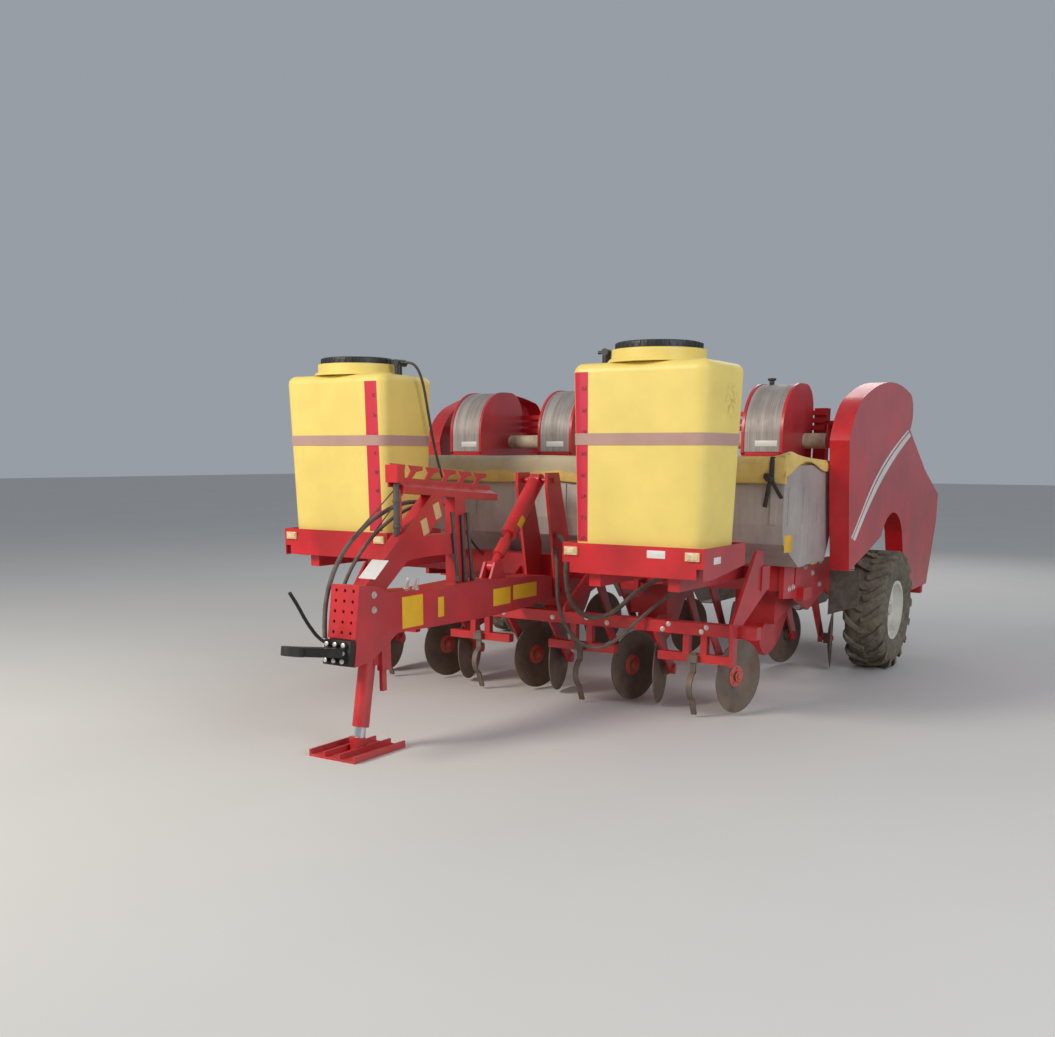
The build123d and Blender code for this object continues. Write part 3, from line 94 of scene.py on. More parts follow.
# %% [markdown]
# Hydraulic hoses carry the tractor's oil to the machine. Each is a fixed length of stiff rubber, so it hangs
# in one open bow. A NURBS spline of order 3 is the right line for it: the points pull the curve and it never
# kinks. The two tow hoses hang from the mast down to their couplers, the two loops hang from the tower to the
# frame's left side, and the thin limp one is the breather of the right tank. The points are the solids' own.

# %% Hoses
couplers = nodes["hose_couplers"]


def hang_hose(name, solid, diameter, length, far_end, stiffness, body, points):
    """A hose as one smooth spline through the air, which stands for the solid of the same route.

    The points' radius carries the thickness, so that the curve's box isn't a metre too large.
    """
    curve = bpy.data.curves.new(name, "CURVE")
    curve.dimensions = "3D"
    curve.bevel_depth = 1.0
    curve.bevel_resolution = 5
    curve.resolution_u = 10
    curve.use_fill_caps = True
    spline = curve.splines.new("NURBS")
    spline.points.add(len(points) - 1)
    for target, place in zip(spline.points, points):
        target.co = (*place, 1)
        target.radius = diameter / 2
    spline.order_u = 3
    spline.use_endpoint_u = True
    hose = add_object(name, curve)
    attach(hose, body)
    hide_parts(solid)
    return hose


def past(start, towards, reach):
    """A point this far from the start, on the way to another point."""
    start, towards = Vector(start), Vector(towards)
    return tuple(start + (towards - start).normalized() * reach)


stub_length = 0.0243
routes = {
    "loop_hose_inner": (
        (0.116, -0.552, 1.014), (0.222, -0.622, 0.990), (0.275, -0.698, 0.915), (0.310, -0.765, 0.790),
        (0.350, -0.800, 0.665), (0.440, -0.815, 0.570), (0.560, -0.800, 0.550), (0.660, -0.760, 0.605),
        (0.715, -0.690, 0.685), (0.745, -0.590, 0.732), (0.760, -0.485, 0.757), (0.765, -0.380, 0.768),
    ),
    "loop_hose_outer": (
        (0.116, -0.560, 0.930), (0.176, -0.650, 0.892), (0.236, -0.738, 0.806), (0.276, -0.804, 0.692),
        (0.322, -0.850, 0.578), (0.395, -0.872, 0.470), (0.495, -0.876, 0.400), (0.605, -0.862, 0.385),
        (0.700, -0.835, 0.440), (0.770, -0.780, 0.525), (0.830, -0.700, 0.600), (0.880, -0.610, 0.662),
        (0.903, -0.500, 0.712), (0.914, -0.380, 0.752),
    ),
    "tow_hose_front": (
        (-0.035, -1.625, 1.235), (-0.102, -1.700, 1.250), (-0.136, -1.800, 1.230), (-0.154, -1.905, 1.190),
        (-0.162, -2.015, 1.138), (-0.161, -2.125, 1.074), (-0.155, -2.228, 0.996), (-0.146, -2.314, 0.896),
        (-0.137, -2.372, 0.786), (-0.132, -2.396, 0.676), (-0.130, -2.398, 0.590),
    ),
    "tow_hose_rear": (
        (-0.035, -1.478, 1.228), (-0.092, -1.540, 1.236), (-0.135, -1.622, 1.224), (-0.166, -1.722, 1.190),
        (-0.186, -1.830, 1.134), (-0.197, -1.935, 1.066), (-0.199, -2.035, 0.986), (-0.196, -2.128, 0.894),
        (-0.190, -2.200, 0.792), (-0.186, -2.238, 0.686), (-0.183, -2.246, 0.590),
    ),
    "breather_hose": (
        (-0.665, -1.040, 2.037), (-0.620, -1.040, 2.037), (-0.585, -1.029, 2.012), (-0.573, -1.006, 1.966),
        (-0.572, -0.972, 1.885), (-0.577, -0.935, 1.765), (-0.583, -0.890, 1.630), (-0.585, -0.843, 1.490),
        (-0.580, -0.790, 1.350), (-0.574, -0.725, 1.215), (-0.568, -0.640, 1.095), (-0.563, -0.550, 0.990),
        (-0.560, -0.465, 0.905), (-0.560, -0.380, 0.848),
    ),
}


def between_stubs(points, start_stub, end_stub):
    """The route from the face of one stub to the face of the other."""
    first = past(points[0], points[1], start_stub * stub_length)
    last = past(points[-1], points[-2], end_stub * stub_length)
    return (first, *points[1:-1], last)


# Columns: solid, diameter, length, far end, stiffness, body, whether each end has a stub
hose_facts = {
    "loop_hose_inner": ("loop_hose_1", 0.028, 1.286, "object", "medium", "chassis", True, True),
    "loop_hose_outer": ("loop_hose_2", 0.022, 1.557, "object", "medium", "chassis", True, True),
    "tow_hose_front": ("tow_hose_1", 0.024, 1.128, "connector", "medium", "drawbar", True, False),
    "tow_hose_rear": ("tow_hose_2", 0.020, 1.102, "connector", "medium", "drawbar", True, False),
    "breather_hose": ("vent_hose", 0.016, 1.425, "object", "limp", "chassis", False, True),
}
hoses = {}
for name, (*facts, start_stub, end_stub) in hose_facts.items():
    hoses[name] = hang_hose(name, *facts, between_stubs(routes[name], start_stub, end_stub))
print(len(hoses), "hoses hang")

# %% [markdown]
# Soft studio light, after a low evening sun: a strong warm lamp ahead and to the right, a weak cool one from
# the left that leaves that side in shade, one behind, and a dim pale world. The Standard view keeps the
# paint's saturated red.

# %% Floor and lights
floor_mesh = bpy.data.meshes.new("floor")
floor_form = bmesh.new()
bmesh.ops.create_grid(floor_form, x_segments=1, y_segments=1, size=60)
floor_form.to_mesh(floor_mesh)
floor_form.free()
floor = add_object("floor", floor_mesh)


def area_light(name, place, aim, size, power, color):
    """A square soft lamp at a place, turned to shine at another."""
    data = bpy.data.lights.new(name, "AREA")
    data.size = size
    data.energy = power
    data.color = color
    lamp = add_object(name, data)
    lamp.location = place
    lamp.rotation_euler = (Vector(aim) - Vector(place)).to_track_quat("-Z", "Y").to_euler()


area_light("key", (-3.8, -8.5, 5.6), (0, -0.5, 0.9), 2.6, 640, (1.0, 0.95, 0.86))
area_light("fill", (8.5, -4.0, 4.5), (0, 0, 0.9), 5.0, 330, (0.88, 0.93, 1.0))
area_light("back", (-1.0, 9.0, 6.0), (0, 0.5, 1.0), 5.0, 180, (1.0, 0.98, 0.95))

world = bpy.data.worlds.new("studio")
bpy.context.scene.world = world
world.use_nodes = True
bpy.context.scene.view_settings.view_transform = "Standard"
background = world.node_tree.nodes["Background"].inputs
background["Color"].default_value = (0.78, 0.85, 0.95, 1)
background["Strength"].default_value = 0.40

# %% [markdown]
# Every finish is a small network of shader nodes on the Object coordinates, which here are metres in the
# machine's own frame. A dusty finish has three layers: the base colour with slow patches of lighter and
# darker tone, soil dust that thickens towards the ground and where faces look up, and fine scratches and
# grain in the bump. Painted steel also gets rounded, rubbed edges from a Bevel node.

# %% Helpers for finishes
soil = (0.30, 0.205, 0.13)


class Finish:
    """One material under construction: it adds nodes, joins them and keeps the shader at hand."""

    def __init__(self, name, color, roughness, metallic=0.0):
        self.material = bpy.data.materials.new(name)
        self.material.use_nodes = True
        self.tree = self.material.node_tree
        self.shader = self.tree.nodes["Principled BSDF"]
        self.shader.inputs["Base Color"].default_value = (*color, 1)
        self.shader.inputs["Roughness"].default_value = roughness
        self.shader.inputs["Metallic"].default_value = metallic
        self.material.diffuse_color = (*color, 1)
        self.place = self.tree.nodes.new("ShaderNodeTexCoord").outputs["Object"]
        self.color = color
        self.roughness = roughness
        self.round_edge = None

    def node(self, kind, **settings):
        """A new node, with its plain settings and its sockets' values."""
        made = self.tree.nodes.new(kind)
        for name, value in settings.items():
            if hasattr(made, name):
                setattr(made, name, value)
            else:
                made.inputs[name.replace("_", " ").title()].default_value = value
        return made

    def join(self, source, target):
        self.tree.links.new(source, target)

    def noise(self, scale, detail=4.0, rough=0.55, stretch=(1, 1, 1)):
        """A noise value from 0 to 1 whose grains are one over scale in size, drawn out by stretch."""
        mapping = self.node("ShaderNodeMapping")
        mapping.inputs["Scale"].default_value = stretch
        self.join(self.place, mapping.inputs["Vector"])
        made = self.node("ShaderNodeTexNoise", scale=scale, detail=detail, roughness=rough)
        self.join(mapping.outputs["Vector"], made.inputs["Vector"])
        return made.outputs["Fac"]

    def spread(self, value, low, high, out_low=0.0, out_high=1.0):
        """Maps a value's range onto another, held at its ends."""
        made = self.node("ShaderNodeMapRange")
        limits = {"From Min": low, "From Max": high, "To Min": out_low, "To Max": out_high}
        for socket, number in limits.items():
            made.inputs[socket].default_value = number
        self.join(value, made.inputs["Value"])
        return made.outputs["Result"]

    def sum(self, first, second, how="ADD"):
        """Two values joined by arithmetic; either may be a plain number."""
        made = self.node("ShaderNodeMath", operation=how)
        for socket, value in zip(made.inputs, (first, second)):
            if isinstance(value, (int, float)):
                socket.default_value = value
            else:
                self.join(value, socket)
        return made.outputs[0]

    def both(self, *values):
        """The product of several values: 1 only where all of them are."""
        result = values[0]
        for value in values[1:]:
            result = self.sum(result, value, "MULTIPLY")
        return result

    def within(self, value, low, high, soft=0.0015):
        """1 between two numbers and 0 outside them, with a soft edge."""
        rise = self.spread(value, low - soft, low + soft)
        fall = self.spread(value, high - soft, high + soft, 1.0, 0.0)
        return self.both(rise, fall)

    def mix(self, share, first, second):
        """Mixes two colours by a value; either may be a plain colour."""
        made = self.node("ShaderNodeMix", data_type="RGBA", clamp_factor=True)
        self.join(share, made.inputs["Factor"])
        for socket, value in ((made.inputs[6], first), (made.inputs[7], second)):
            if isinstance(value, tuple):
                socket.default_value = (*value, 1)
            else:
                self.join(value, socket)
        return made.outputs[2]

    def coordinate(self, letter):
        """One of the place's three coordinates, in metres."""
        made = self.node("ShaderNodeSeparateXYZ")
        self.join(self.place, made.inputs[0])
        return made.outputs[letter]

    def wave(self, letter, pitch, how="SINE"):
        """A wave along one axis, of this many radians per metre, or a saw of as many teeth."""
        return self.sum(self.sum(self.coordinate(letter), pitch, "MULTIPLY"), 0, how)

    def facing(self, letter, low=0.2, high=1.0):
        """How far the surface looks along one axis, from 0 to 1."""
        geometry = self.node("ShaderNodeNewGeometry")
        made = self.node("ShaderNodeSeparateXYZ")
        self.join(geometry.outputs["Normal"], made.inputs[0])
        return self.spread(made.outputs[letter], low, high)

    def paint(self, color_socket):
        self.join(color_socket, self.shader.inputs["Base Color"])

    def bump(self, value, strength, distance):
        made = self.node("ShaderNodeBump", strength=strength, distance=distance)
        self.join(value, made.inputs["Height"])
        if self.round_edge:
            self.join(self.round_edge, made.inputs["Normal"])
        self.join(made.outputs["Normal"], self.shader.inputs["Normal"])

    def edges(self, radius):
        """Rounds the shading of sharp edges, and gives a value that is 1 on them."""
        bevel = self.node("ShaderNodeBevel", samples=4, radius=radius)
        geometry = self.node("ShaderNodeNewGeometry")
        dot = self.node("ShaderNodeVectorMath", operation="DOT_PRODUCT")
        self.join(bevel.outputs["Normal"], dot.inputs[0])
        self.join(geometry.outputs["Normal"], dot.inputs[1])
        self.round_edge = bevel.outputs["Normal"]
        return self.spread(dot.outputs["Value"], 0.90, 0.995, 1.0, 0.0)

    def weathered(self, patch, dust, low_z=0.9, dust_color=soil, grain=(900, 0.12, 0.0006), layers=()):
        """Slow patches of tone, then other layers of colour, then dust and a fine grain.

        Dust grows downwards, below low_z, and on faces that look up. A layer is a share and a colour, and a
        grain is a scale, a strength and a depth.
        """
        lighter = tuple(min(1.0, c * (1 + patch) + 0.012 * patch) for c in self.color)
        darker = tuple(c * (1 - patch) for c in self.color)
        tone = self.mix(self.spread(self.noise(3.2), 0.35, 0.65), darker, lighter)
        for share, color in layers:
            tone = self.mix(share, tone, color)
        height = self.spread(self.coordinate("Z"), 0.0, low_z, 1.0, 0.12)
        speckle = self.spread(self.noise(14, 8, 0.7), 0.38, 0.72)
        settled = self.sum(self.facing("Z"), 0.45, "MULTIPLY")
        amount = self.both(self.sum(height, settled), speckle)
        self.paint(self.mix(self.sum(amount, dust, "MULTIPLY"), tone, dust_color))
        rough = self.spread(amount, 0.0, 1.0, self.roughness, min(1.0, self.roughness + 0.45 * dust + 0.1))
        self.join(rough, self.shader.inputs["Roughness"])
        scale, strength, distance = grain
        self.bump(self.noise(scale, 2), strength, distance)
        return self.material


# %% [markdown]
# The paint is a deep glossy red under farm dust. Faces that look towards +X, the shaded left side, carry a
# painted mauve sheen, a painted reflection of the cool sky on the dusty paint, and edges are rubbed lighter.
# Sprayed steel has a clear, slightly rippled skin, so the coat is on and the bump is faint. The tanks are
# yellow plastic that lets a little light in, with a red level stripe on the front, worn marks on it, and a
# faint stain on the left tank's side.

# %% Paint and plastics
def red_paint():
    made = Finish("red_paint", (0.54, 0.007, 0.013), 0.36)
    made.shader.inputs["Coat Weight"].default_value = 0.3
    made.shader.inputs["Coat Roughness"].default_value = 0.25
    rubbed = made.both(made.edges(0.003), made.spread(made.noise(30, 3), 0.45, 0.7, 0.0, 0.5))
    # Painted sky reflection: faces towards +X, the side in shade, get a mauve sheen in slow patches, painted into
    # the colour
    painted_sky_sheen = made.both(made.facing("X", 0.6, 1.0), made.spread(made.noise(2.1, 6), 0.3, 0.7, 0.16, 0.42))
    return made.weathered(0.20, 0.22, 0.75, layers=((painted_sky_sheen, (0.30, 0.10, 0.11)), (rubbed, (0.55, 0.16, 0.13))))


def tank_plastic():
    made = Finish("tank_plastic", (0.86, 0.66, 0.17), 0.44)
    made.shader.inputs["Subsurface Weight"].default_value = 0.12
    made.shader.inputs["Subsurface Radius"].default_value = (0.02, 0.014, 0.005)
    x = made.coordinate("X")
    z = made.coordinate("Z")
    front = made.facing("Y", -0.55, -0.75)
    stripe_spans = ((0.646, 0.743), (-0.775, -0.684))
    bands = [made.within(x, low, high) for low, high in stripe_spans]
    stripe = made.both(made.sum(*bands), made.within(z, 1.04, 1.92), front)
    marks_per_metre = 9.0
    steps = made.within(made.wave("Z", marks_per_metre, "FRACT"), 0.42, 0.62, 0.03)
    ticks = [made.within(x, low + 0.058, high - 0.008) for low, high in stripe_spans]
    worn = made.spread(made.noise(70, 3), 0.42, 0.5)
    marks = made.both(made.sum(*ticks), steps, made.within(z, 1.05, 1.91), front, worn)
    stain_box = (made.within(x, 1.3, 1.5), made.within(made.coordinate("Y"), -1.05, -0.91, 0.04),
                 made.within(z, 1.71, 1.83, 0.04))
    blots = made.spread(made.noise(34, 6), 0.44, 0.66, 0.0, 0.8)
    stain = made.both(*stain_box, made.facing("X", 0.6, 0.9), blots)
    return made.weathered(
        0.05, 0.08, 1.3, grain=(420, 0.10, 0.0012),
        layers=((stripe, (0.62, 0.018, 0.05)), (marks, (0.20, 0.012, 0.03)), (stain, (0.40, 0.21, 0.05))),
    )


def lamp_lens():
    made = Finish("lamp_lens", (0.82, 0.60, 0.28), 0.25)
    made.shader.inputs["Coat Weight"].default_value = 0.6
    made.bump(made.wave("X", 700.0), 0.4, 0.001)
    made.paint(made.mix(made.spread(made.noise(40), 0.4, 0.7), (0.84, 0.64, 0.34), (0.62, 0.47, 0.28)))
    return made.material


def flat_plate(name, color):
    """A blank stick-on plate: smooth plastic film, scuffed and dusty."""
    made = Finish(name, color, 0.4)
    scuffed = made.spread(made.noise(55, 6, 0.7), 0.56, 0.7, 0.0, 0.6)
    darker = tuple(c * 0.7 for c in color)
    return made.weathered(0.06, 0.18, 1.2, grain=(300, 0.08, 0.0004), layers=((scuffed, darker),))


# %% [markdown]
# Bare metal shows what it does: ploughed soil polishes the discs and then rusts onto them in rings, rods are
# chromed, sheet metal is brushed and dull. Grain that is drawn out along one axis reads as brushing or as
# rain streaks.

# %% Metals
def sheet_steel():
    made = Finish("sheet_steel", (0.47, 0.42, 0.39), 0.5, 0.3)
    streaks = made.spread(made.noise(1.0, 5, 0.6, (30, 30, 1.2)), 0.45, 0.75, 0.0, 0.45)
    return made.weathered(0.14, 0.30, 2.2, grain=(240, 0.15, 0.0008), layers=((streaks, (0.34, 0.31, 0.29)),))


def worn_steel():
    made = Finish("worn_steel", (0.17, 0.14, 0.12), 0.55, 0.4)
    rust = made.spread(made.noise(9, 8, 0.7), 0.48, 0.62, 0.0, 0.6)
    return made.weathered(0.3, 0.75, 0.75, grain=(160, 0.4, 0.0015), layers=((rust, (0.16, 0.085, 0.05)),))


def cover_steel():
    made = Finish("cover_steel", (0.35, 0.31, 0.29), 0.5, 0.3)
    streaks = made.spread(made.noise(1.0, 4, 0.6, (170, 2, 2)), 0.40, 0.65, 0.0, 0.8)
    broad = made.spread(made.noise(1.0, 3, 0.5, (28, 3, 3)), 0.45, 0.7, 0.0, 0.6)
    layers = ((streaks, (0.20, 0.165, 0.15)), (broad, (0.46, 0.42, 0.39)))
    return made.weathered(0.2, 0.25, 3.0, grain=(260, 0.3, 0.001), layers=layers)


# %% [markdown]
# Woven and rubber things are rough and have no coat. The cover's cloth is yellow tarpaulin whose upper half
# between the tanks has bleached to beige; the border follows the height, and its weave is two crossed waves
# of a millimetre and a half. Rubber is never black on a working machine: dust fills the pores.

# %% Cloth and rubber
def strap_webbing():
    made = Finish("strap_webbing", (0.50, 0.31, 0.26), 0.8)
    made.weathered(0.08, 0.10, 1.6)
    made.bump(made.wave("Z", 1800.0), 0.4, 0.0008)
    return made.material


def cover_cloth():
    made = Finish("cover_cloth", (0.78, 0.55, 0.16), 0.75)
    uneven_height = made.sum(made.coordinate("Z"), made.spread(made.noise(6, 2), 0.3, 0.7, -0.012, 0.012))
    above = made.spread(uneven_height, 1.386, 1.396)
    middle = made.spread(made.coordinate("X"), 1.12, 1.24, 1.0, 0.0)
    bleached = made.both(above, middle, made.spread(made.noise(12, 6), 0.2, 0.5, 0.75, 1.0))
    grime = made.spread(made.noise(7, 6, 0.7), 0.52, 0.72, 0.0, 0.5)
    made.weathered(0.10, 0.14, 2.6, layers=((bleached, (0.52, 0.44, 0.30)), (grime, (0.40, 0.30, 0.16))))
    made.bump(made.both(made.wave("X", 4200.0), made.wave("Z", 4200.0)), 0.35, 0.0008)
    return made.material


def roller_cloth():
    made = Finish("roller_cloth", (0.70, 0.62, 0.44), 0.85)
    made.shader.inputs["Sheen Weight"].default_value = 0.2
    grime = made.spread(made.noise(16, 7, 0.7), 0.46, 0.66, 0.0, 0.7)
    return made.weathered(0.2, 0.25, 3.0, grain=(500, 0.5, 0.0015), layers=((grime, (0.33, 0.24, 0.15)),))


def tyre_rubber():
    made = Finish("tyre_rubber", (0.085, 0.074, 0.056), 0.75)
    caked = made.spread(made.noise(22, 7, 0.7), 0.44, 0.64, 0.0, 0.75)
    return made.weathered(
        0.3, 0.75, 1.1, dust_color=(0.30, 0.245, 0.165), grain=(120, 0.35, 0.002),
        layers=((caked, (0.24, 0.195, 0.13)),),
    )


def hose_rubber():
    made = Finish("hose_rubber", (0.055, 0.048, 0.042), 0.7)
    dusty = made.spread(made.noise(18, 6, 0.7), 0.36, 0.62, 0.15, 0.9)
    return made.weathered(0.3, 0.35, 1.6, grain=(700, 0.3, 0.0006), layers=((dusty, (0.15, 0.13, 0.105)),))


# %% [markdown]
# Each solid gets the finish of its slot. Finishes without layers of their own come from a table. The extra
# ones belong to small pieces, and each names the slot that is nearest to it.

# %% Give the solids their finishes
finishes = {
    "red_paint": red_paint(), "tank_yellow": tank_plastic(), "steel": sheet_steel(),
    "bare_steel": worn_steel(), "tyre": tyre_rubber(), "strap": strap_webbing(), "cloth": cover_cloth(),
    "cover": cover_steel(), "roller": roller_cloth(), "hose_rubber": hose_rubber(), "lamp": lamp_lens(),
}

# Columns: material, colour, roughness, metal, patches, dust, height of the dust, grain
plain_finishes = {
    "chrome": ("chrome", (0.75, 0.75, 0.77), 0.12, 1.0, 0.04, 0.10, 0.9, (500, 0.03, 0.0003)),
    "rim": ("rim_paint", (0.72, 0.70, 0.63), 0.42, 0.0, 0.12, 0.45, 0.7, (900, 0.12, 0.0006)),
    "black_plastic": ("black_plastic", (0.020, 0.020, 0.021), 0.42, 0.0, 0.3, 0.10, 1.5, (600, 0.15, 0.0006)),
    "black_iron": ("black_iron", (0.022, 0.021, 0.020), 0.5, 0.2, 0.3, 0.16, 0.9, (180, 0.3, 0.001)),
    "vent_tube": ("vent_tube", (0.06, 0.052, 0.046), 0.55, 0.0, 0.3, 0.3, 3.0, (700, 0.2, 0.0005)),
    "plated": ("plated_steel", (0.72, 0.69, 0.63), 0.35, 0.7, 0.12, 0.25, 0.9, (700, 0.1, 0.0004)),
    "strap_black": ("strap_black", (0.035, 0.035, 0.032), 0.8, 0.0, 0.25, 0.2, 2.5, (900, 0.5, 0.0006)),
}
for key, (name, color, roughness, metallic, patch, dust, low_z, grain) in plain_finishes.items():
    finishes[key] = Finish(name, color, roughness, metallic).weathered(patch, dust, low_z, grain=grain)
plates = {
    "white_plate": (0.72, 0.70, 0.66), "yellow_plate": (0.80, 0.47, 0.02), "red_lens": (0.45, 0.01, 0.01),
    "hub_paint": (0.58, 0.10, 0.075), "tan_plate": (0.62, 0.42, 0.20),
}
for name, color in plates.items():
    finishes[name] = flat_plate(name, color)
slot_names = {key: key for key in finishes}
slot_names.update(
    white_plate="lamp", yellow_plate="lamp", red_lens="lamp", hub_paint="red_paint", tan_plate="lamp",
    plated="chrome", strap_black="vent_tube",
)

for part in frame["record"]["subparts"]:
    piece = nodes[part["node"]]
    piece.data.materials.clear()
    piece.data.materials.append(finishes[part["material_slot"]])
couplers.data.materials.clear()
couplers.data.materials.append(finishes["plated"])
for name, hose in hoses.items():
    slot = "vent_tube" if name == "breather_hose" else "hose_rubber"
    hose.data.materials.append(finishes[slot])

floor_finish = Finish("floor_finish", (0.62, 0.60, 0.57), 0.9)
floor_finish.paint(floor_finish.mix(floor_finish.noise(0.6), (0.60, 0.58, 0.55), (0.66, 0.64, 0.61)))
floor.data.materials.append(floor_finish.material)
print(len(finishes), "finishes")

# %% [markdown]
# Small pieces come from a few helpers: each makes a shape at the origin, softens its edges with a bevel, and
# a matrix puts it in its place. Shading is smooth but broken across sharp edges, so a bevel catches the light
# as a rolled steel edge does.

# %% Helpers for meshes
def make_piece(form, name, finish, body="chassis", crease=35):
    """Makes an object of a mesh under construction, on the body that carries it."""
    bmesh.ops.remove_doubles(form, verts=form.verts, dist=0.00001)
    bmesh.ops.recalc_face_normals(form, faces=form.faces)
    for face in form.faces:
        face.smooth = True
    for edge in form.edges:
        edge.smooth = edge.calc_face_angle(0.0) < math.radians(crease)
    mesh = bpy.data.meshes.new(name)
    form.to_mesh(mesh)
    form.free()
    piece = add_object(name, mesh)
    mesh.materials.append(finishes[finish])
    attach(piece, body)
    return piece


def put(form, shape, matrix):
    """Adds a small shape to a larger form, turned and moved by a matrix."""
    shape.transform(matrix)
    mesh = bpy.data.meshes.new("shape")
    shape.to_mesh(mesh)
    shape.free()
    form.from_mesh(mesh)
    bpy.data.meshes.remove(mesh)


def soften(shape, edges, width, segments=2):
    """Rolls these edges over with a small bevel."""
    bmesh.ops.bevel(
        shape, geom=edges, offset=width, offset_type="OFFSET", segments=segments,
        profile=0.5, affect="EDGES", material=-1,
    )


def facing(place, outward, up=(0, 0, 1)):
    """A placement whose own Z axis looks outward and whose Y axis leans to up."""
    z_axis = Vector(outward).normalized()
    x_axis = Vector(up).cross(z_axis)
    if x_axis.length < 0.001:
        x_axis = Vector((1, 0, 0)).cross(z_axis)
    x_axis.normalize()
    y_axis = z_axis.cross(x_axis)
    turn = Matrix((x_axis, y_axis, z_axis)).transposed().to_4x4()
    return Matrix.Translation(place) @ turn


def block(width, height, depth, edge=0.0012):
    """A block that stands on its own XY plane, with rolled edges."""
    shape = bmesh.new()
    bmesh.ops.create_cube(shape, size=1, matrix=Matrix.Translation((0, 0, 0.5)))
    bmesh.ops.scale(shape, vec=(width, height, depth), verts=shape.verts)
    soften(shape, shape.edges[:], edge)
    return shape


def rod(radius, length, segments=20, edge=0.0012):
    """A rod that stands on its own XY plane, with rolled rims."""
    shape = bmesh.new()
    bmesh.ops.create_cone(
        shape, cap_ends=True, segments=segments, radius1=radius, radius2=radius, depth=length,
        matrix=Matrix.Translation((0, 0, length / 2)),
    )
    rims = [edge for edge in shape.edges if abs(edge.verts[0].co.z - edge.verts[1].co.z) < 0.00001]
    soften(shape, rims, edge)
    return shape


def hex_bolt(radius):
    """A hexagon head on its washer, with a softened crown."""
    shape = bmesh.new()
    washer = radius * 0.28
    put(shape, rod(radius * 1.45, washer, 20, radius * 0.06), Matrix.Identity(4))
    put(shape, rod(radius, radius * 0.75, 6, radius * 0.12), Matrix.Translation((0, 0, washer)))
    return shape


def rod_between(form, start, end, radius, segments=16):
    """Adds a rod from one point to another."""
    reach = Vector(end) - Vector(start)
    put(form, rod(radius, reach.length, segments, radius * 0.15), facing(start, reach))


def touch(names, start, direction):
    """Where a line first meets one of these solids, and which way the surface looks there."""
    found = []
    for name in names:
        hit, place, normal, _ = nodes[name].ray_cast(Vector(start), Vector(direction).normalized())
        if hit:
            found.append(((place - Vector(start)).length, place, normal))
    if not found:
        print("nothing met from", start, "towards", direction)
        return None
    found.sort(key=lambda item: item[0])
    return found[0][1], found[0][2]


def bolt_on(form, names, start, direction, radius, least_x=0.0):
    """A bolt where a line meets a surface square to it, at least so far out; says whether there is one."""
    met = touch(names, start, direction)
    if not met or abs(met[1].dot(Vector(direction))) <= 0.9 or abs(met[0].x) < least_x:
        return False
    put(form, hex_bolt(radius), facing(met[0] - met[1] * 0.0003, met[1]))
    return True


bpy.context.view_layer.update()

# %% [markdown]
# A tractor tyre's tread is a row of slanting lugs from each shoulder to the middle, half a step apart. The
# carcass is a closed profile that spins round the axle. One lug starts as a bevelled block lying flat; its
# points are then wrapped round the carcass, so that it follows the crown and dips over the shoulder.

# %% Tyres
tyre_r = 0.420
wheel_places = {"left": Vector((1.546, 1.58, tyre_r)), "right": Vector((-1.546, 1.58, tyre_r))}
half_profile = (
    (0.098, 0.199), (0.1035, 0.201), (0.106, 0.211), (0.113, 0.219), (0.126, 0.233),
    (0.137, 0.256), (0.142, 0.285), (0.1422, 0.315), (0.1375, 0.343), (0.127, 0.367),
    (0.108, 0.385), (0.080, 0.394), (0.040, 0.3975),
)
widest_r = 0.315
flat_half, flat_r = half_profile[-1]
lug_count = 17
lug_lean = math.radians(38)
lug_reach = 0.142
shoulder = 0.105
lug_tip = 0.128


def crown_radius(across):
    """The carcass's radius at this distance from the middle of the tread."""
    far = abs(across)
    outer = [point for point in half_profile if point[1] > widest_r]
    for (wide, low), (narrow, high) in zip(outer, outer[1:]):
        if narrow <= far <= wide:
            return low + (high - low) * (wide - far) / (wide - narrow)
    return flat_r if far < flat_half else widest_r


def tread_lug(half, turn):
    """One slanting lug, wrapped round the carcass."""
    shape = bmesh.new()
    bmesh.ops.create_cube(shape, size=1)
    lengthwise = [edge for edge in shape.edges if abs(edge.verts[0].co.x - edge.verts[1].co.x) > 0.5]
    bmesh.ops.subdivide_edges(shape, edges=lengthwise, cuts=6, use_grid_fill=True)
    long_rims = [
        edge for edge in shape.edges
        if min(v.co.z for v in edge.verts) > 0.4 and abs(edge.verts[0].co.y - edge.verts[1].co.y) < 0.1
        and abs(edge.verts[0].co.y) > 0.4
    ]
    soften(shape, long_rims, 0.12, 1)
    for vert in shape.verts:
        along = vert.co.x + 0.5
        across = half * (-0.006 + along * lug_reach)
        swell = 0.030 + 0.012 * along
        bow = 0.012 * math.sin(math.pi * along)
        round_way = abs(across) * math.tan(lug_lean) - bow + vert.co.y * swell / math.cos(lug_lean)
        base = crown_radius(across) - 0.006
        top = tyre_r - 0.0005 - 0.10 * max(0.0, abs(across) - shoulder)
        if abs(across) > lug_tip:
            top -= 0.018
        radius = top if vert.co.z > 0 else min(base, top - 0.01)
        if 0 < vert.co.z < 0.45:
            radius -= 0.003
        angle = turn + round_way / tyre_r
        vert.co = (across, radius * math.sin(angle), radius * math.cos(angle))
    return shape


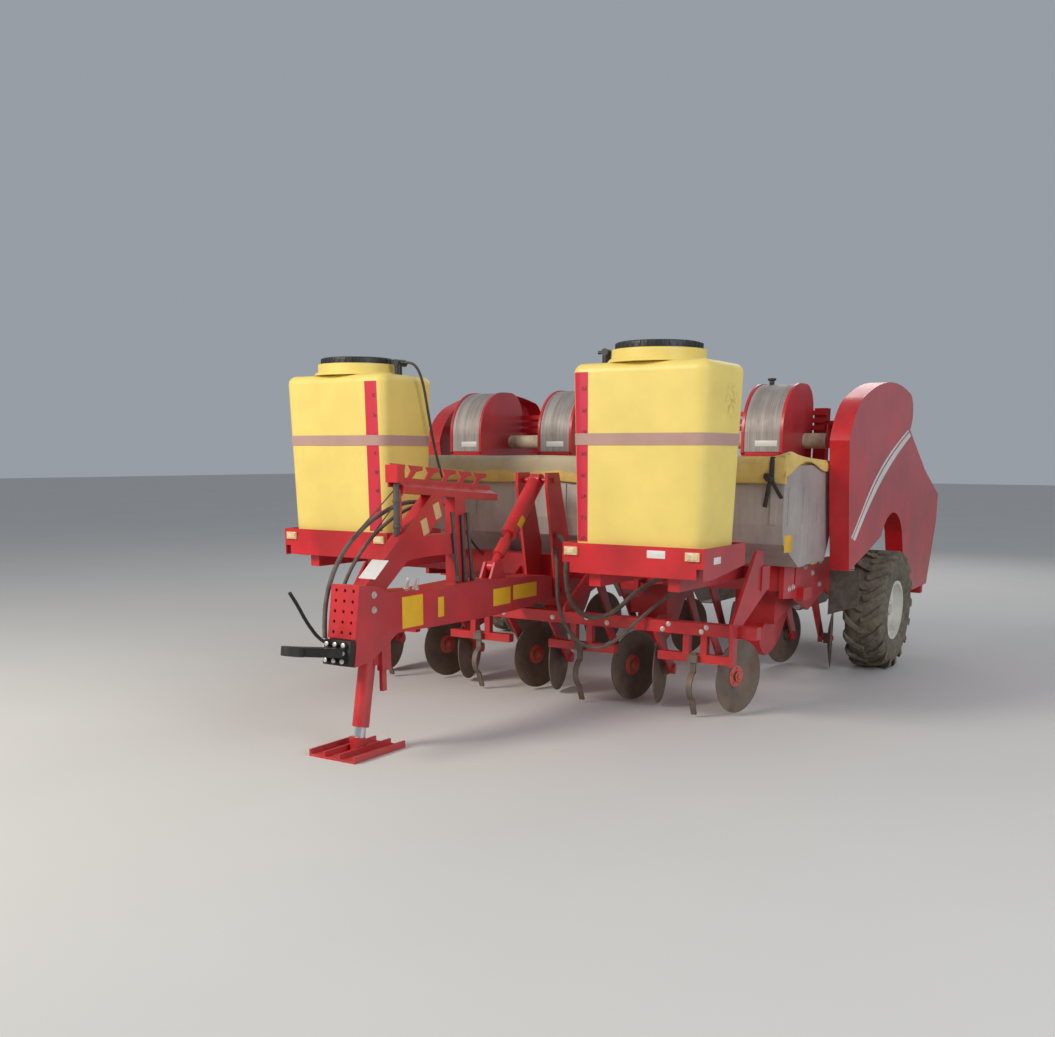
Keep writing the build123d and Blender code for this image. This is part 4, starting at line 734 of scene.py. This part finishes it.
def lugged_tyre(name, place, body, solid):
    form = bmesh.new()
    ring = [*half_profile, (0.0, 0.398), *((-x, r) for x, r in reversed(half_profile))]
    verts = [form.verts.new((x, 0, r)) for x, r in ring]
    edges = [form.edges.new(pair) for pair in zip(verts, verts[1:] + verts[:1])]
    bmesh.ops.spin(
        form, geom=verts + edges, axis=(1, 0, 0), cent=(0, 0, 0), angle=math.tau, steps=96, use_merge=True
    )
    step = math.tau / lug_count
    for half in (-1, 1):
        for number in range(lug_count):
            turn = step * (number + (0.5 if half > 0 else 0))
            put(form, tread_lug(half, turn), Matrix.Identity(4))
    form.transform(Matrix.Translation(place))
    tyre = make_piece(form, name, "tyre", body, crease=30)
    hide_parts(solid)
    return tyre


for side, place in wheel_places.items():
    made = lugged_tyre(f"lugged_tyre_{side}", place, f"wheel_{side}", f"tyre_{side}")
    print(made.name, len(made.data.polygons), "faces")

# %% [markdown]
# Wheels are held by eight nuts round the hub, with the air valve in the dish. Each disc has a faded red hub
# with five bolts on its free side; the machine's joints say where each disc's axle is and where it points.

# %% Wheel nuts and disc hubs
nut_count = 8
nut_ring_r = 0.073
for side, place in wheel_places.items():
    outward = 1 if side == "left" else -1
    form = bmesh.new()
    for number in range(nut_count):
        angle = math.tau * (number + 0.5) / nut_count
        spot = place + Vector((outward * 0.030, nut_ring_r * math.sin(angle), nut_ring_r * math.cos(angle)))
        put(form, hex_bolt(0.0115), facing(spot, (outward, 0, 0)))
    cap_foot = place + Vector((outward * 0.0745, 0, 0))
    put(form, rod(0.040, 0.012, 32, 0.003), facing(cap_foot, (outward, 0, 0)))
    valve_foot = place + Vector((outward * 0.036, 0.118, 0.05))
    valve_tip = place + Vector((outward * 0.068, 0.128, 0.055))
    rod_between(form, valve_foot, valve_tip, 0.004)
    make_piece(form, f"wheel_nuts_{side}", "plated", f"wheel_{side}")

hub_bolt_count = 5
hub_bolt_ring_r = 0.047
disc_joints = [joint for joint in frame["joints"] if "disc" in joint["name"]]
for joint in disc_joints:
    centre = Vector(joint["pos_m"])
    axle = Vector(joint["axis"])
    first = touch([joint["child"]], centre + axle * 0.3, -axle)
    second = touch([joint["child"]], centre - axle * 0.3, axle)
    reaches = [(first[0] - centre).length, (second[0] - centre).length]
    outward = axle if reaches[0] < reaches[1] else -axle
    top = min(reaches)
    form = bmesh.new()
    put(form, rod(0.0305, 0.006, 32, 0.002), facing(centre + outward * (top - 0.0005), outward))
    put(form, rod(0.018, 0.012, 24, 0.005), facing(centre + outward * (top + 0.004), outward))
    ring = touch([joint["child"]], centre + outward * 0.3 + upward * 0.052, -outward)
    if ring:
        level = (ring[0] - centre).dot(outward)
        put(form, rod(0.064, 0.006, 36, 0.002), facing(centre + outward * (level - 0.0005), outward))
        sideways = upward.cross(outward)
        for number in range(hub_bolt_count):
            angle = math.tau * number / hub_bolt_count
            spot = centre + outward * (level + 0.005)
            spot += hub_bolt_ring_r * (math.cos(angle) * upward + math.sin(angle) * sideways)
            put(form, hex_bolt(0.007), facing(spot, outward))
    make_piece(form, joint["child"] + "_hub", "hub_paint", joint["child"])
print(len(disc_joints), "disc hubs")

# %% [markdown]
# The cover is a tarpaulin strip that lies over the hopper's edge and hangs down on both sides of it. A flat grid
# is bent over the edge along a smooth section, and slow noise gives it sags and creases. A Solidify modifier
# makes it a thin sheet.

# %% Hopper cover
def at_share(points, share):
    """A point on a smooth line through these points, at this share of the way."""
    steps = len(points) - 1
    spot = min(max(share, 0.0), 0.99999) * steps
    index = int(spot)
    part = spot - index
    a = points[max(index - 1, 0)]
    b = points[index]
    c = points[index + 1]
    d = points[min(index + 2, steps)]
    return tuple(
        q + 0.5 * part * (r - p + part * (2 * p - 5 * q + 4 * r - s + part * (3 * q - p - 3 * r + s)))
        for p, q, r, s in zip(a, b, c, d)
    )


def cover_strip(name, rows, columns, place_of):
    """A strip of cloth: place_of says where the share along it and the share over the edge lie."""
    form = bmesh.new()
    bmesh.ops.create_grid(form, x_segments=columns, y_segments=rows, size=0.5)
    for vert in form.verts:
        vert.co = place_of(vert.co.x + 0.5, vert.co.y + 0.5)
    area = sum(face.calc_area() for face in form.faces)
    strip = make_piece(form, name, "cloth", crease=80)
    skin = strip.modifiers.new("thickness", "SOLIDIFY")
    skin.thickness = 0.0018
    skin.offset = 0
    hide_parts("hopper_cover")
    return strip, area


front_section = (
    (-0.2155, 1.444), (-0.220, 1.472), (-0.242, 1.488), (-0.272, 1.490), (-0.298, 1.476),
    (-0.308, 1.446), (-0.307, 1.405), (-0.300, 1.364), (-0.286, 1.326),
)
front_half = 1.484


def front_place(along, over):
    x = front_half * (2 * along - 1)
    y, z = at_share(front_section, over)
    ripple = noise.noise(Vector((x * 5.2, over * 1.6, 3.1))) * 0.012 * min(1.0, over * 2)
    hem = noise.noise(Vector((x * 3.1, 0, 8.4))) * 0.020 * over ** 2
    sag = noise.noise(Vector((x * 1.7, 0, 1.2))) * 0.008
    near_end = max(0.0, min(1.0, (abs(x) - 1.36) / 0.10))
    lift = 0.022 * near_end ** 2 * math.sin(math.pi * min(1.0, over * 1.3)) ** 2
    return Vector((x, y - ripple if over > 0.3 else y, z + sag * (1 - over) + hem + lift))


front_strip, front_area = cover_strip("cover_front", 26, 220, front_place)
print("front cloth", round(front_area, 3), "square metres")

side_ridge = (
    (-0.306, 1.496), (-0.200, 1.518), (-0.060, 1.500), (0.120, 1.484), (0.420, 1.470), (0.718, 1.458),
)
side_hem = (
    (-0.306, 1.372), (-0.200, 1.392), (-0.090, 1.442), (0.020, 1.458), (0.160, 1.404), (0.718, 1.398),
)


def side_place(side, along, over):
    y, ridge = at_share(side_ridge, along)
    hem = at_share(side_hem, along)[1]
    section = (
        (1.4415, 1.443), (1.444, ridge - 0.028), (1.454, ridge - 0.004), (1.470, ridge),
        (1.483, ridge - 0.018), (1.486, ridge * 0.6 + hem * 0.4), (1.485, ridge * 0.25 + hem * 0.75),
        (1.479, hem),
    )
    x, z = at_share(section, over)
    flap = noise.noise(Vector((y * 4.3, side * 2.0, 5.0)))
    return Vector((side * (x + 0.005 * flap * over), y, z + 0.010 * flap * over ** 2))


for side, name in sides:
    strip, area = cover_strip(f"cover_{name}", 20, 80, lambda a, o, s=side: side_place(s, a, o))
    print(name, "side cloth", round(area, 3), "square metres")

# %% [markdown]
# A bundle of old cloth is wound round the middle roller. It is a cylinder with many rings whose points are
# pushed in and out by noise, more along the roll than round it, so that it looks tied and lumpy.

# %% Rolled cloth
roll_half = 0.228
roll_y = 0.605
roll_z = 1.59
roll_form = bmesh.new()
bmesh.ops.create_grid(roll_form, x_segments=60, y_segments=40, size=0.5)
for vert in roll_form.verts:
    along = vert.co.x + 0.5
    angle = math.tau * (vert.co.y + 0.5)
    waist = 1 - 0.75 * math.exp(-((along - 0.52) / 0.07) ** 2) - 0.45 * (2 * abs(along - 0.5)) ** 6
    back, rise = math.cos(angle), math.sin(angle)
    lump = noise.noise(Vector((along * 7, back * 1.5, rise * 1.5)))
    fold = noise.noise(Vector((along * 24, back * 2.6, rise * 2.6)))
    radius = max(0.046, 0.044 + 0.036 * max(0.0, waist) + 0.030 * lump * waist + 0.012 * fold)
    vert.co = (roll_half * (2 * along - 1), roll_y + 1.25 * radius * back, roll_z + 1.08 * radius * rise)
rolled_cloth = make_piece(roll_form, "rolled_cloth", "roller", crease=80)

# %% [markdown]
# The side hoods carry a double white band that rises in a curve: a narrow line and a wide one between two
# measured borders, each laid on the panel as a bridge between two edge loops and a hair thick.

# %% Hood bands
upper_border = ((0.558, 0.990), (0.835, 1.218), (1.157, 1.432), (1.761, 1.678))
lower_border = ((0.649, 0.965), (0.973, 1.214), (1.354, 1.431), (1.855, 1.638))
panel_x = 1.6206
band_steps = 40


def through(points, share):
    """A cubic curve through four points, at this share of the way."""
    weights = []
    for index in range(4):
        weight = 1.0
        for other in range(4):
            if other != index:
                weight *= (share * 3 - other) / (index - other)
        weights.append(weight)
    return Vector([sum(w * p[axis] for w, p in zip(weights, points)) for axis in (0, 1)])


def band_loop(form, side, across):
    """A row of edges on the panel, at this share of the way from the upper border to the lower one."""
    verts = []
    for step in range(band_steps + 1):
        share = step / band_steps
        spot = through(upper_border, share).lerp(through(lower_border, share), across)
        verts.append(form.verts.new((side * panel_x, spot.x, spot.y)))
    return [form.edges.new(pair) for pair in zip(verts, verts[1:])]


for side, name in sides:
    form = bmesh.new()
    for first, second in ((0.0, 0.24), (0.42, 1.0)):
        loops = band_loop(form, side, first) + band_loop(form, side, second)
        bmesh.ops.bridge_loops(form, edges=loops)
    bmesh.ops.solidify(form, geom=form.faces[:], thickness=0.0008)
    make_piece(form, f"hood_band_{name}", "white_plate")

# %% [markdown]
# Plates, bolts and lamps sit on surfaces that the script finds itself: a ray from outside meets the solid,
# and the piece is set on that point, looking along the surface's normal.

# %% Plates
def plate_on(form, names, start, direction, width, height, up=(0, 0, 1), thick=0.0016, edge=0.0005):
    """A thin plate where the ray from start meets a solid."""
    met = touch(names, start, direction)
    if met:
        place, normal = met
        put(form, block(width, height, thick, edge), facing(place - normal * 0.0004, normal, up))


unit_nodes = ["planting_units", "unit_covers"]
frame_nodes = ["main_frame", "wheel_legs", "tank_trays", "front_toolbar", "hopper", *unit_nodes]
bar_plates = bmesh.new()
for y_low, y_high, z_low, z_high in (
    (-2.050, -1.875, 0.610, 0.775), (-1.742, -1.689, 0.635, 0.743),
    (-1.210, -1.030, 0.636, 0.735), (-1.000, -0.740, 0.652, 0.738),
):
    start = (0.5, (y_low + y_high) / 2, (z_low + z_high) / 2)
    plate_on(bar_plates, ["drawbar_beam"], start, (-1, 0, 0), y_high - y_low, z_high - z_low)
make_piece(bar_plates, "drawbar_plates", "yellow_plate", "drawbar")

frame_plates = bmesh.new()
plate_on(frame_plates, frame_nodes, (1.46, 0.35, 0.865), (-1, 0, 0), 0.11, 0.065)
plate_on(frame_plates, ["hopper"], (1.60, -0.16, 0.99), (-1, 0, 0), 0.13, 0.10)
make_piece(frame_plates, "frame_plates", "yellow_plate")

white_plates = bmesh.new()
for x_low, x_high in ((-1.163, -1.031), (-0.441, -0.304), (0.310, 0.441), (1.080, 1.224)):
    start = ((x_low + x_high) / 2, -0.1, 1.57)
    plate_on(white_plates, unit_nodes, start, (0, 1, 0), x_high - x_low, 0.036)
plate_on(white_plates, ["tank_trays"], (1.171, -1.6, 0.995), (0, 1, 0), 0.104, 0.040)
plate_on(white_plates, ["tank_trays"], (1.7, -1.149, 0.965), (-1, 0, 0), 0.090, 0.036)
make_piece(white_plates, "white_plates", "white_plate")

mast_plates = bmesh.new()
plate_on(mast_plates, ["hose_mast"], (0.012, -2.42, 1.16), (0, 0.62, -0.6), 0.11, 0.14, (0, 1, 0.5))
make_piece(mast_plates, "mast_plates", "white_plate", "drawbar")
strut_plates = bmesh.new()
for y, z in ((-1.775, 1.120), (-1.665, 1.200)):
    plate_on(strut_plates, ["hose_mast"], (0.4, y, z), (-1, 0, 0), 0.055, 0.085, (0, -0.35, 1))
make_piece(strut_plates, "strut_plates", "tan_plate", "drawbar")

# %% Bolts
frame_bolts = bmesh.new()
side_bolts = (
    (0.270, 0.852), (0.150, 0.688), (0.221, 0.694), (0.435, 0.803),
    (0.579, 0.753), (0.728, 0.819), (0.875, 0.928), (0.735, 0.667),
)
side_nodes = ["main_frame", "wheel_legs"]
toolbar_bolts = (
    (0.180, 0.520), (0.420, 0.535), (0.560, 0.515), (0.926, 0.510), (0.963, 0.542), (1.170, 0.513),
    (1.200, 0.539),
)
hitch_bolts = ((-2.271, 0.809), (-2.273, 0.734))
bar_bolts = bmesh.new()
bolt_count = 0
for side in (-1, 1):
    inward = (-side, 0, 0)
    for y, z in side_bolts:
        bolt_count += bolt_on(frame_bolts, side_nodes, (side * 1.48, y, z), inward, 0.0135, 1.2)
    for x, z in toolbar_bolts:
        bolt_count += bolt_on(frame_bolts, ["front_toolbar"], (side * x, -2.0, z), (0, 1, 0), 0.0105)
    for y, z in hitch_bolts:
        bolt_count += bolt_on(bar_bolts, ["drawbar_beam"], (side * 0.4, y, z), inward, 0.0125)
make_piece(frame_bolts, "frame_bolts", "plated")

# The tow eye's foot leans with the hitch plate
face_up = Vector((0, 0.1608, 0.987))
face_out = Vector((0, -0.987, 0.1608))
face_foot = Vector((0, -2.430, 0.464))
for x in (-0.054, 0, 0.054):
    for height in (0.026, 0.066, 0.106):
        spot = face_foot + Vector((x, 0, 0)) + face_up * height + face_out * 0.0555
        put(bar_bolts, rod(0.0125, 0.007, 24, 0.003), facing(spot, face_out))
        bolt_count += 1
make_piece(bar_bolts, "drawbar_bolts", "plated", "drawbar")
print(bolt_count, "bolts")

# %% [markdown]
# The tray's lamps have ribbed lenses, and the rear lamps a red one. A red reflector hangs under each
# hood's tail.

# %% Lamps
lens_form = bmesh.new()
for side in (-1, 1):
    for x in (0.666, 1.378):
        start = (side * x, -1.6, 0.993)
        plate_on(lens_form, ["lamps"], start, (0, 1, 0), 0.062, 0.032, thick=0.005, edge=0.0018)
make_piece(lens_form, "tray_lenses", "lamp")

red_form = bmesh.new()
low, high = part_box("lamps")
for side in (-1, 1):
    for shift in (-0.036, 0.0, 0.036):
        start = (side * 0.375 + shift, high[1] + 0.4, low[2] + 0.040)
        plate_on(red_form, ["lamps"], start, (0, -1, 0), 0.033, 0.066, thick=0.006, edge=0.002)
    reflector_foot = (side * 1.548, 2.600, 0.437)
    put(red_form, block(0.100, 0.060, 0.075, 0.004), Matrix.Translation(reflector_foot))
make_piece(red_form, "red_lenses", "red_lens")

# %% [markdown]
# Round the mast: a grey sleeve stands at the rack's front end, pipes run down the rear post to the beam, two
# thin taut lines hold the tow hoses up, and a set of silver couplings sits on the beam.

# %% Mast fittings
sleeve_form = bmesh.new()
sleeve_y = -1.968
rod_between(sleeve_form, (0.0, sleeve_y, 1.060), (0.0, sleeve_y, 1.440), 0.017)
for z in (1.12, 1.25, 1.40):
    rod_between(sleeve_form, (0.0, sleeve_y, z), (0.0, sleeve_y, z + 0.018), 0.021)
make_piece(sleeve_form, "mast_sleeve", "vent_tube", "drawbar")

pipe_form = bmesh.new()
pipe_foot_z = 0.806
for x, foot_y, top_y, top_z in (
    (0.047, -1.500, -1.549, 1.190), (0.049, -1.363, -1.408, 1.180), (0.047, -1.430, -1.456, 1.170),
):
    rod_between(pipe_form, (x, foot_y, pipe_foot_z), (x, top_y, top_z), 0.0105)
    rod_between(pipe_form, (x, foot_y, pipe_foot_z - 0.006), (x, foot_y, pipe_foot_z + 0.03), 0.0145)
make_piece(pipe_form, "post_pipes", "vent_tube", "drawbar")

line_form = bmesh.new()
for start, end in (
    ((-0.036, -1.910, 1.335), (-0.158, -2.150, 1.066)), ((-0.036, -1.850, 1.310), (-0.197, -2.000, 1.023)),
):
    rod_between(line_form, start, end, 0.0035, 10)
make_piece(line_form, "stay_lines", "vent_tube", "drawbar")

coupling_form = bmesh.new()
for x, y in ((-0.03, -1.86), (0.005, -1.83), (0.04, -1.87)):
    met = touch(["drawbar_beam"], (x, y, 1.05), (0, 0, -1))
    if met:
        put(coupling_form, hex_bolt(0.014), facing(met[0], met[1], (0, 1, 0)))
        nipple_foot = met[0] + upward * 0.012
        put(coupling_form, rod(0.0085, 0.045, 20), facing(nipple_foot, (0.2, 0.1, 1), (0, 1, 0)))
make_piece(coupling_form, "couplings", "plated", "drawbar")

# %% [markdown]
# The lift cylinder has a gland collar at its barrel's lower end and a blank plate that wraps half round it.

# %% Lift cylinder
upper_pin = Vector((0.0, -0.600, 1.345))
lower_pin = Vector((0.0, -1.085, 0.850))
down_axis = (lower_pin - upper_pin).normalized()
reach = (lower_pin - upper_pin).length
wrap_form = bmesh.new()
bmesh.ops.create_grid(wrap_form, x_segments=16, y_segments=4, size=0.5)
wrap_place = facing(upper_pin + down_axis * reach * 0.50, down_axis, (1, 0, 0))
for vert in wrap_form.verts:
    angle = math.radians(-30 + 100 * (vert.co.x + 0.5))
    spot = Vector((0.0508 * math.sin(angle), 0.0508 * math.cos(angle), 0.075 * vert.co.y))
    vert.co = wrap_place @ spot
bmesh.ops.solidify(wrap_form, geom=wrap_form.faces[:], thickness=0.0006)
make_piece(wrap_form, "cylinder_plate", "yellow_plate", "lift_barrel")

# %% [markdown]
# The tank lids have grip ribs round the rim, so that gloved hands can open them.

# %% Lid grips
grip_count = 36
lid_r = 0.2268
for side, name in sides:
    form = bmesh.new()
    lid_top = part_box(f"tank_lid_{name}")[1][2]
    middle = Vector((side * 1.027, -1.040, 2.053))
    for number in range(grip_count):
        angle = math.tau * number / grip_count
        outward = Vector((math.cos(angle), math.sin(angle), 0))
        put(form, block(0.012, 0.026, 0.0035, 0.0012), facing(middle + outward * lid_r, outward))
    cap_foot = (middle.x, middle.y, lid_top - 0.0005)
    put(form, rod(0.060, 0.006, 40, 0.002), Matrix.Translation(cap_foot))
    make_piece(form, f"lid_grips_{name}", "black_plastic", f"lid_{name}")

# %% [markdown]
# A black strap ties the cover down at its left corner: a ribbon up over the hem, a knot, and two tails.

# %% Tie strap
strap_form = bmesh.new()
# Each ribbon's width, then its path
ribbons = (
    (
        0.030, (1.398, -0.260, 1.4955), (1.400, -0.300, 1.488), (1.402, -0.315, 1.455),
        (1.403, -0.317, 1.400), (1.402, -0.315, 1.362),
    ),
    (
        0.026, (1.400, -0.315, 1.365), (1.386, -0.312, 1.325), (1.372, -0.290, 1.275),
        (1.352, -0.268, 1.205),
    ),
    (
        0.024, (1.402, -0.315, 1.365), (1.418, -0.310, 1.330), (1.438, -0.286, 1.285),
        (1.452, -0.268, 1.256),
    ),
    (
        0.022, (1.402, -0.319, 1.364), (1.376, -0.324, 1.392), (1.362, -0.322, 1.380),
        (1.380, -0.320, 1.358), (1.400, -0.318, 1.360),
    ),
)
for width, *path in ribbons:
    for start, end in zip(path, path[1:]):
        run = Vector(end) - Vector(start)
        middle = (Vector(start) + Vector(end)) / 2
        face = Vector((1, 0, 0)).cross(run)
        put(strap_form, block(width, run.length + 0.004, 0.003, 0.0008), facing(middle, face, run))
knot = bmesh.new()
bmesh.ops.create_icosphere(knot, subdivisions=3, radius=0.016)
bmesh.ops.scale(knot, vec=(1.3, 0.6, 1.0), verts=knot.verts)
put(strap_form, knot, Matrix.Translation((1.401, -0.318, 1.362)))
make_piece(strap_form, "tie_strap", "strap_black")

# %% [markdown]
# A small tap with a round knob stands on the left unit's housing.

# %% Tap
met = touch(unit_nodes, (1.05, 0.56, 2.4), (0, 0, -1))
if met:
    tap_form = bmesh.new()
    put(tap_form, rod(0.016, 0.030, 20), Matrix.Translation(met[0] - upward * 0.001))
    put(tap_form, rod(0.027, 0.016, 12, 0.004), Matrix.Translation(met[0] + upward * 0.028))
    make_piece(tap_form, "tap", "black_plastic")
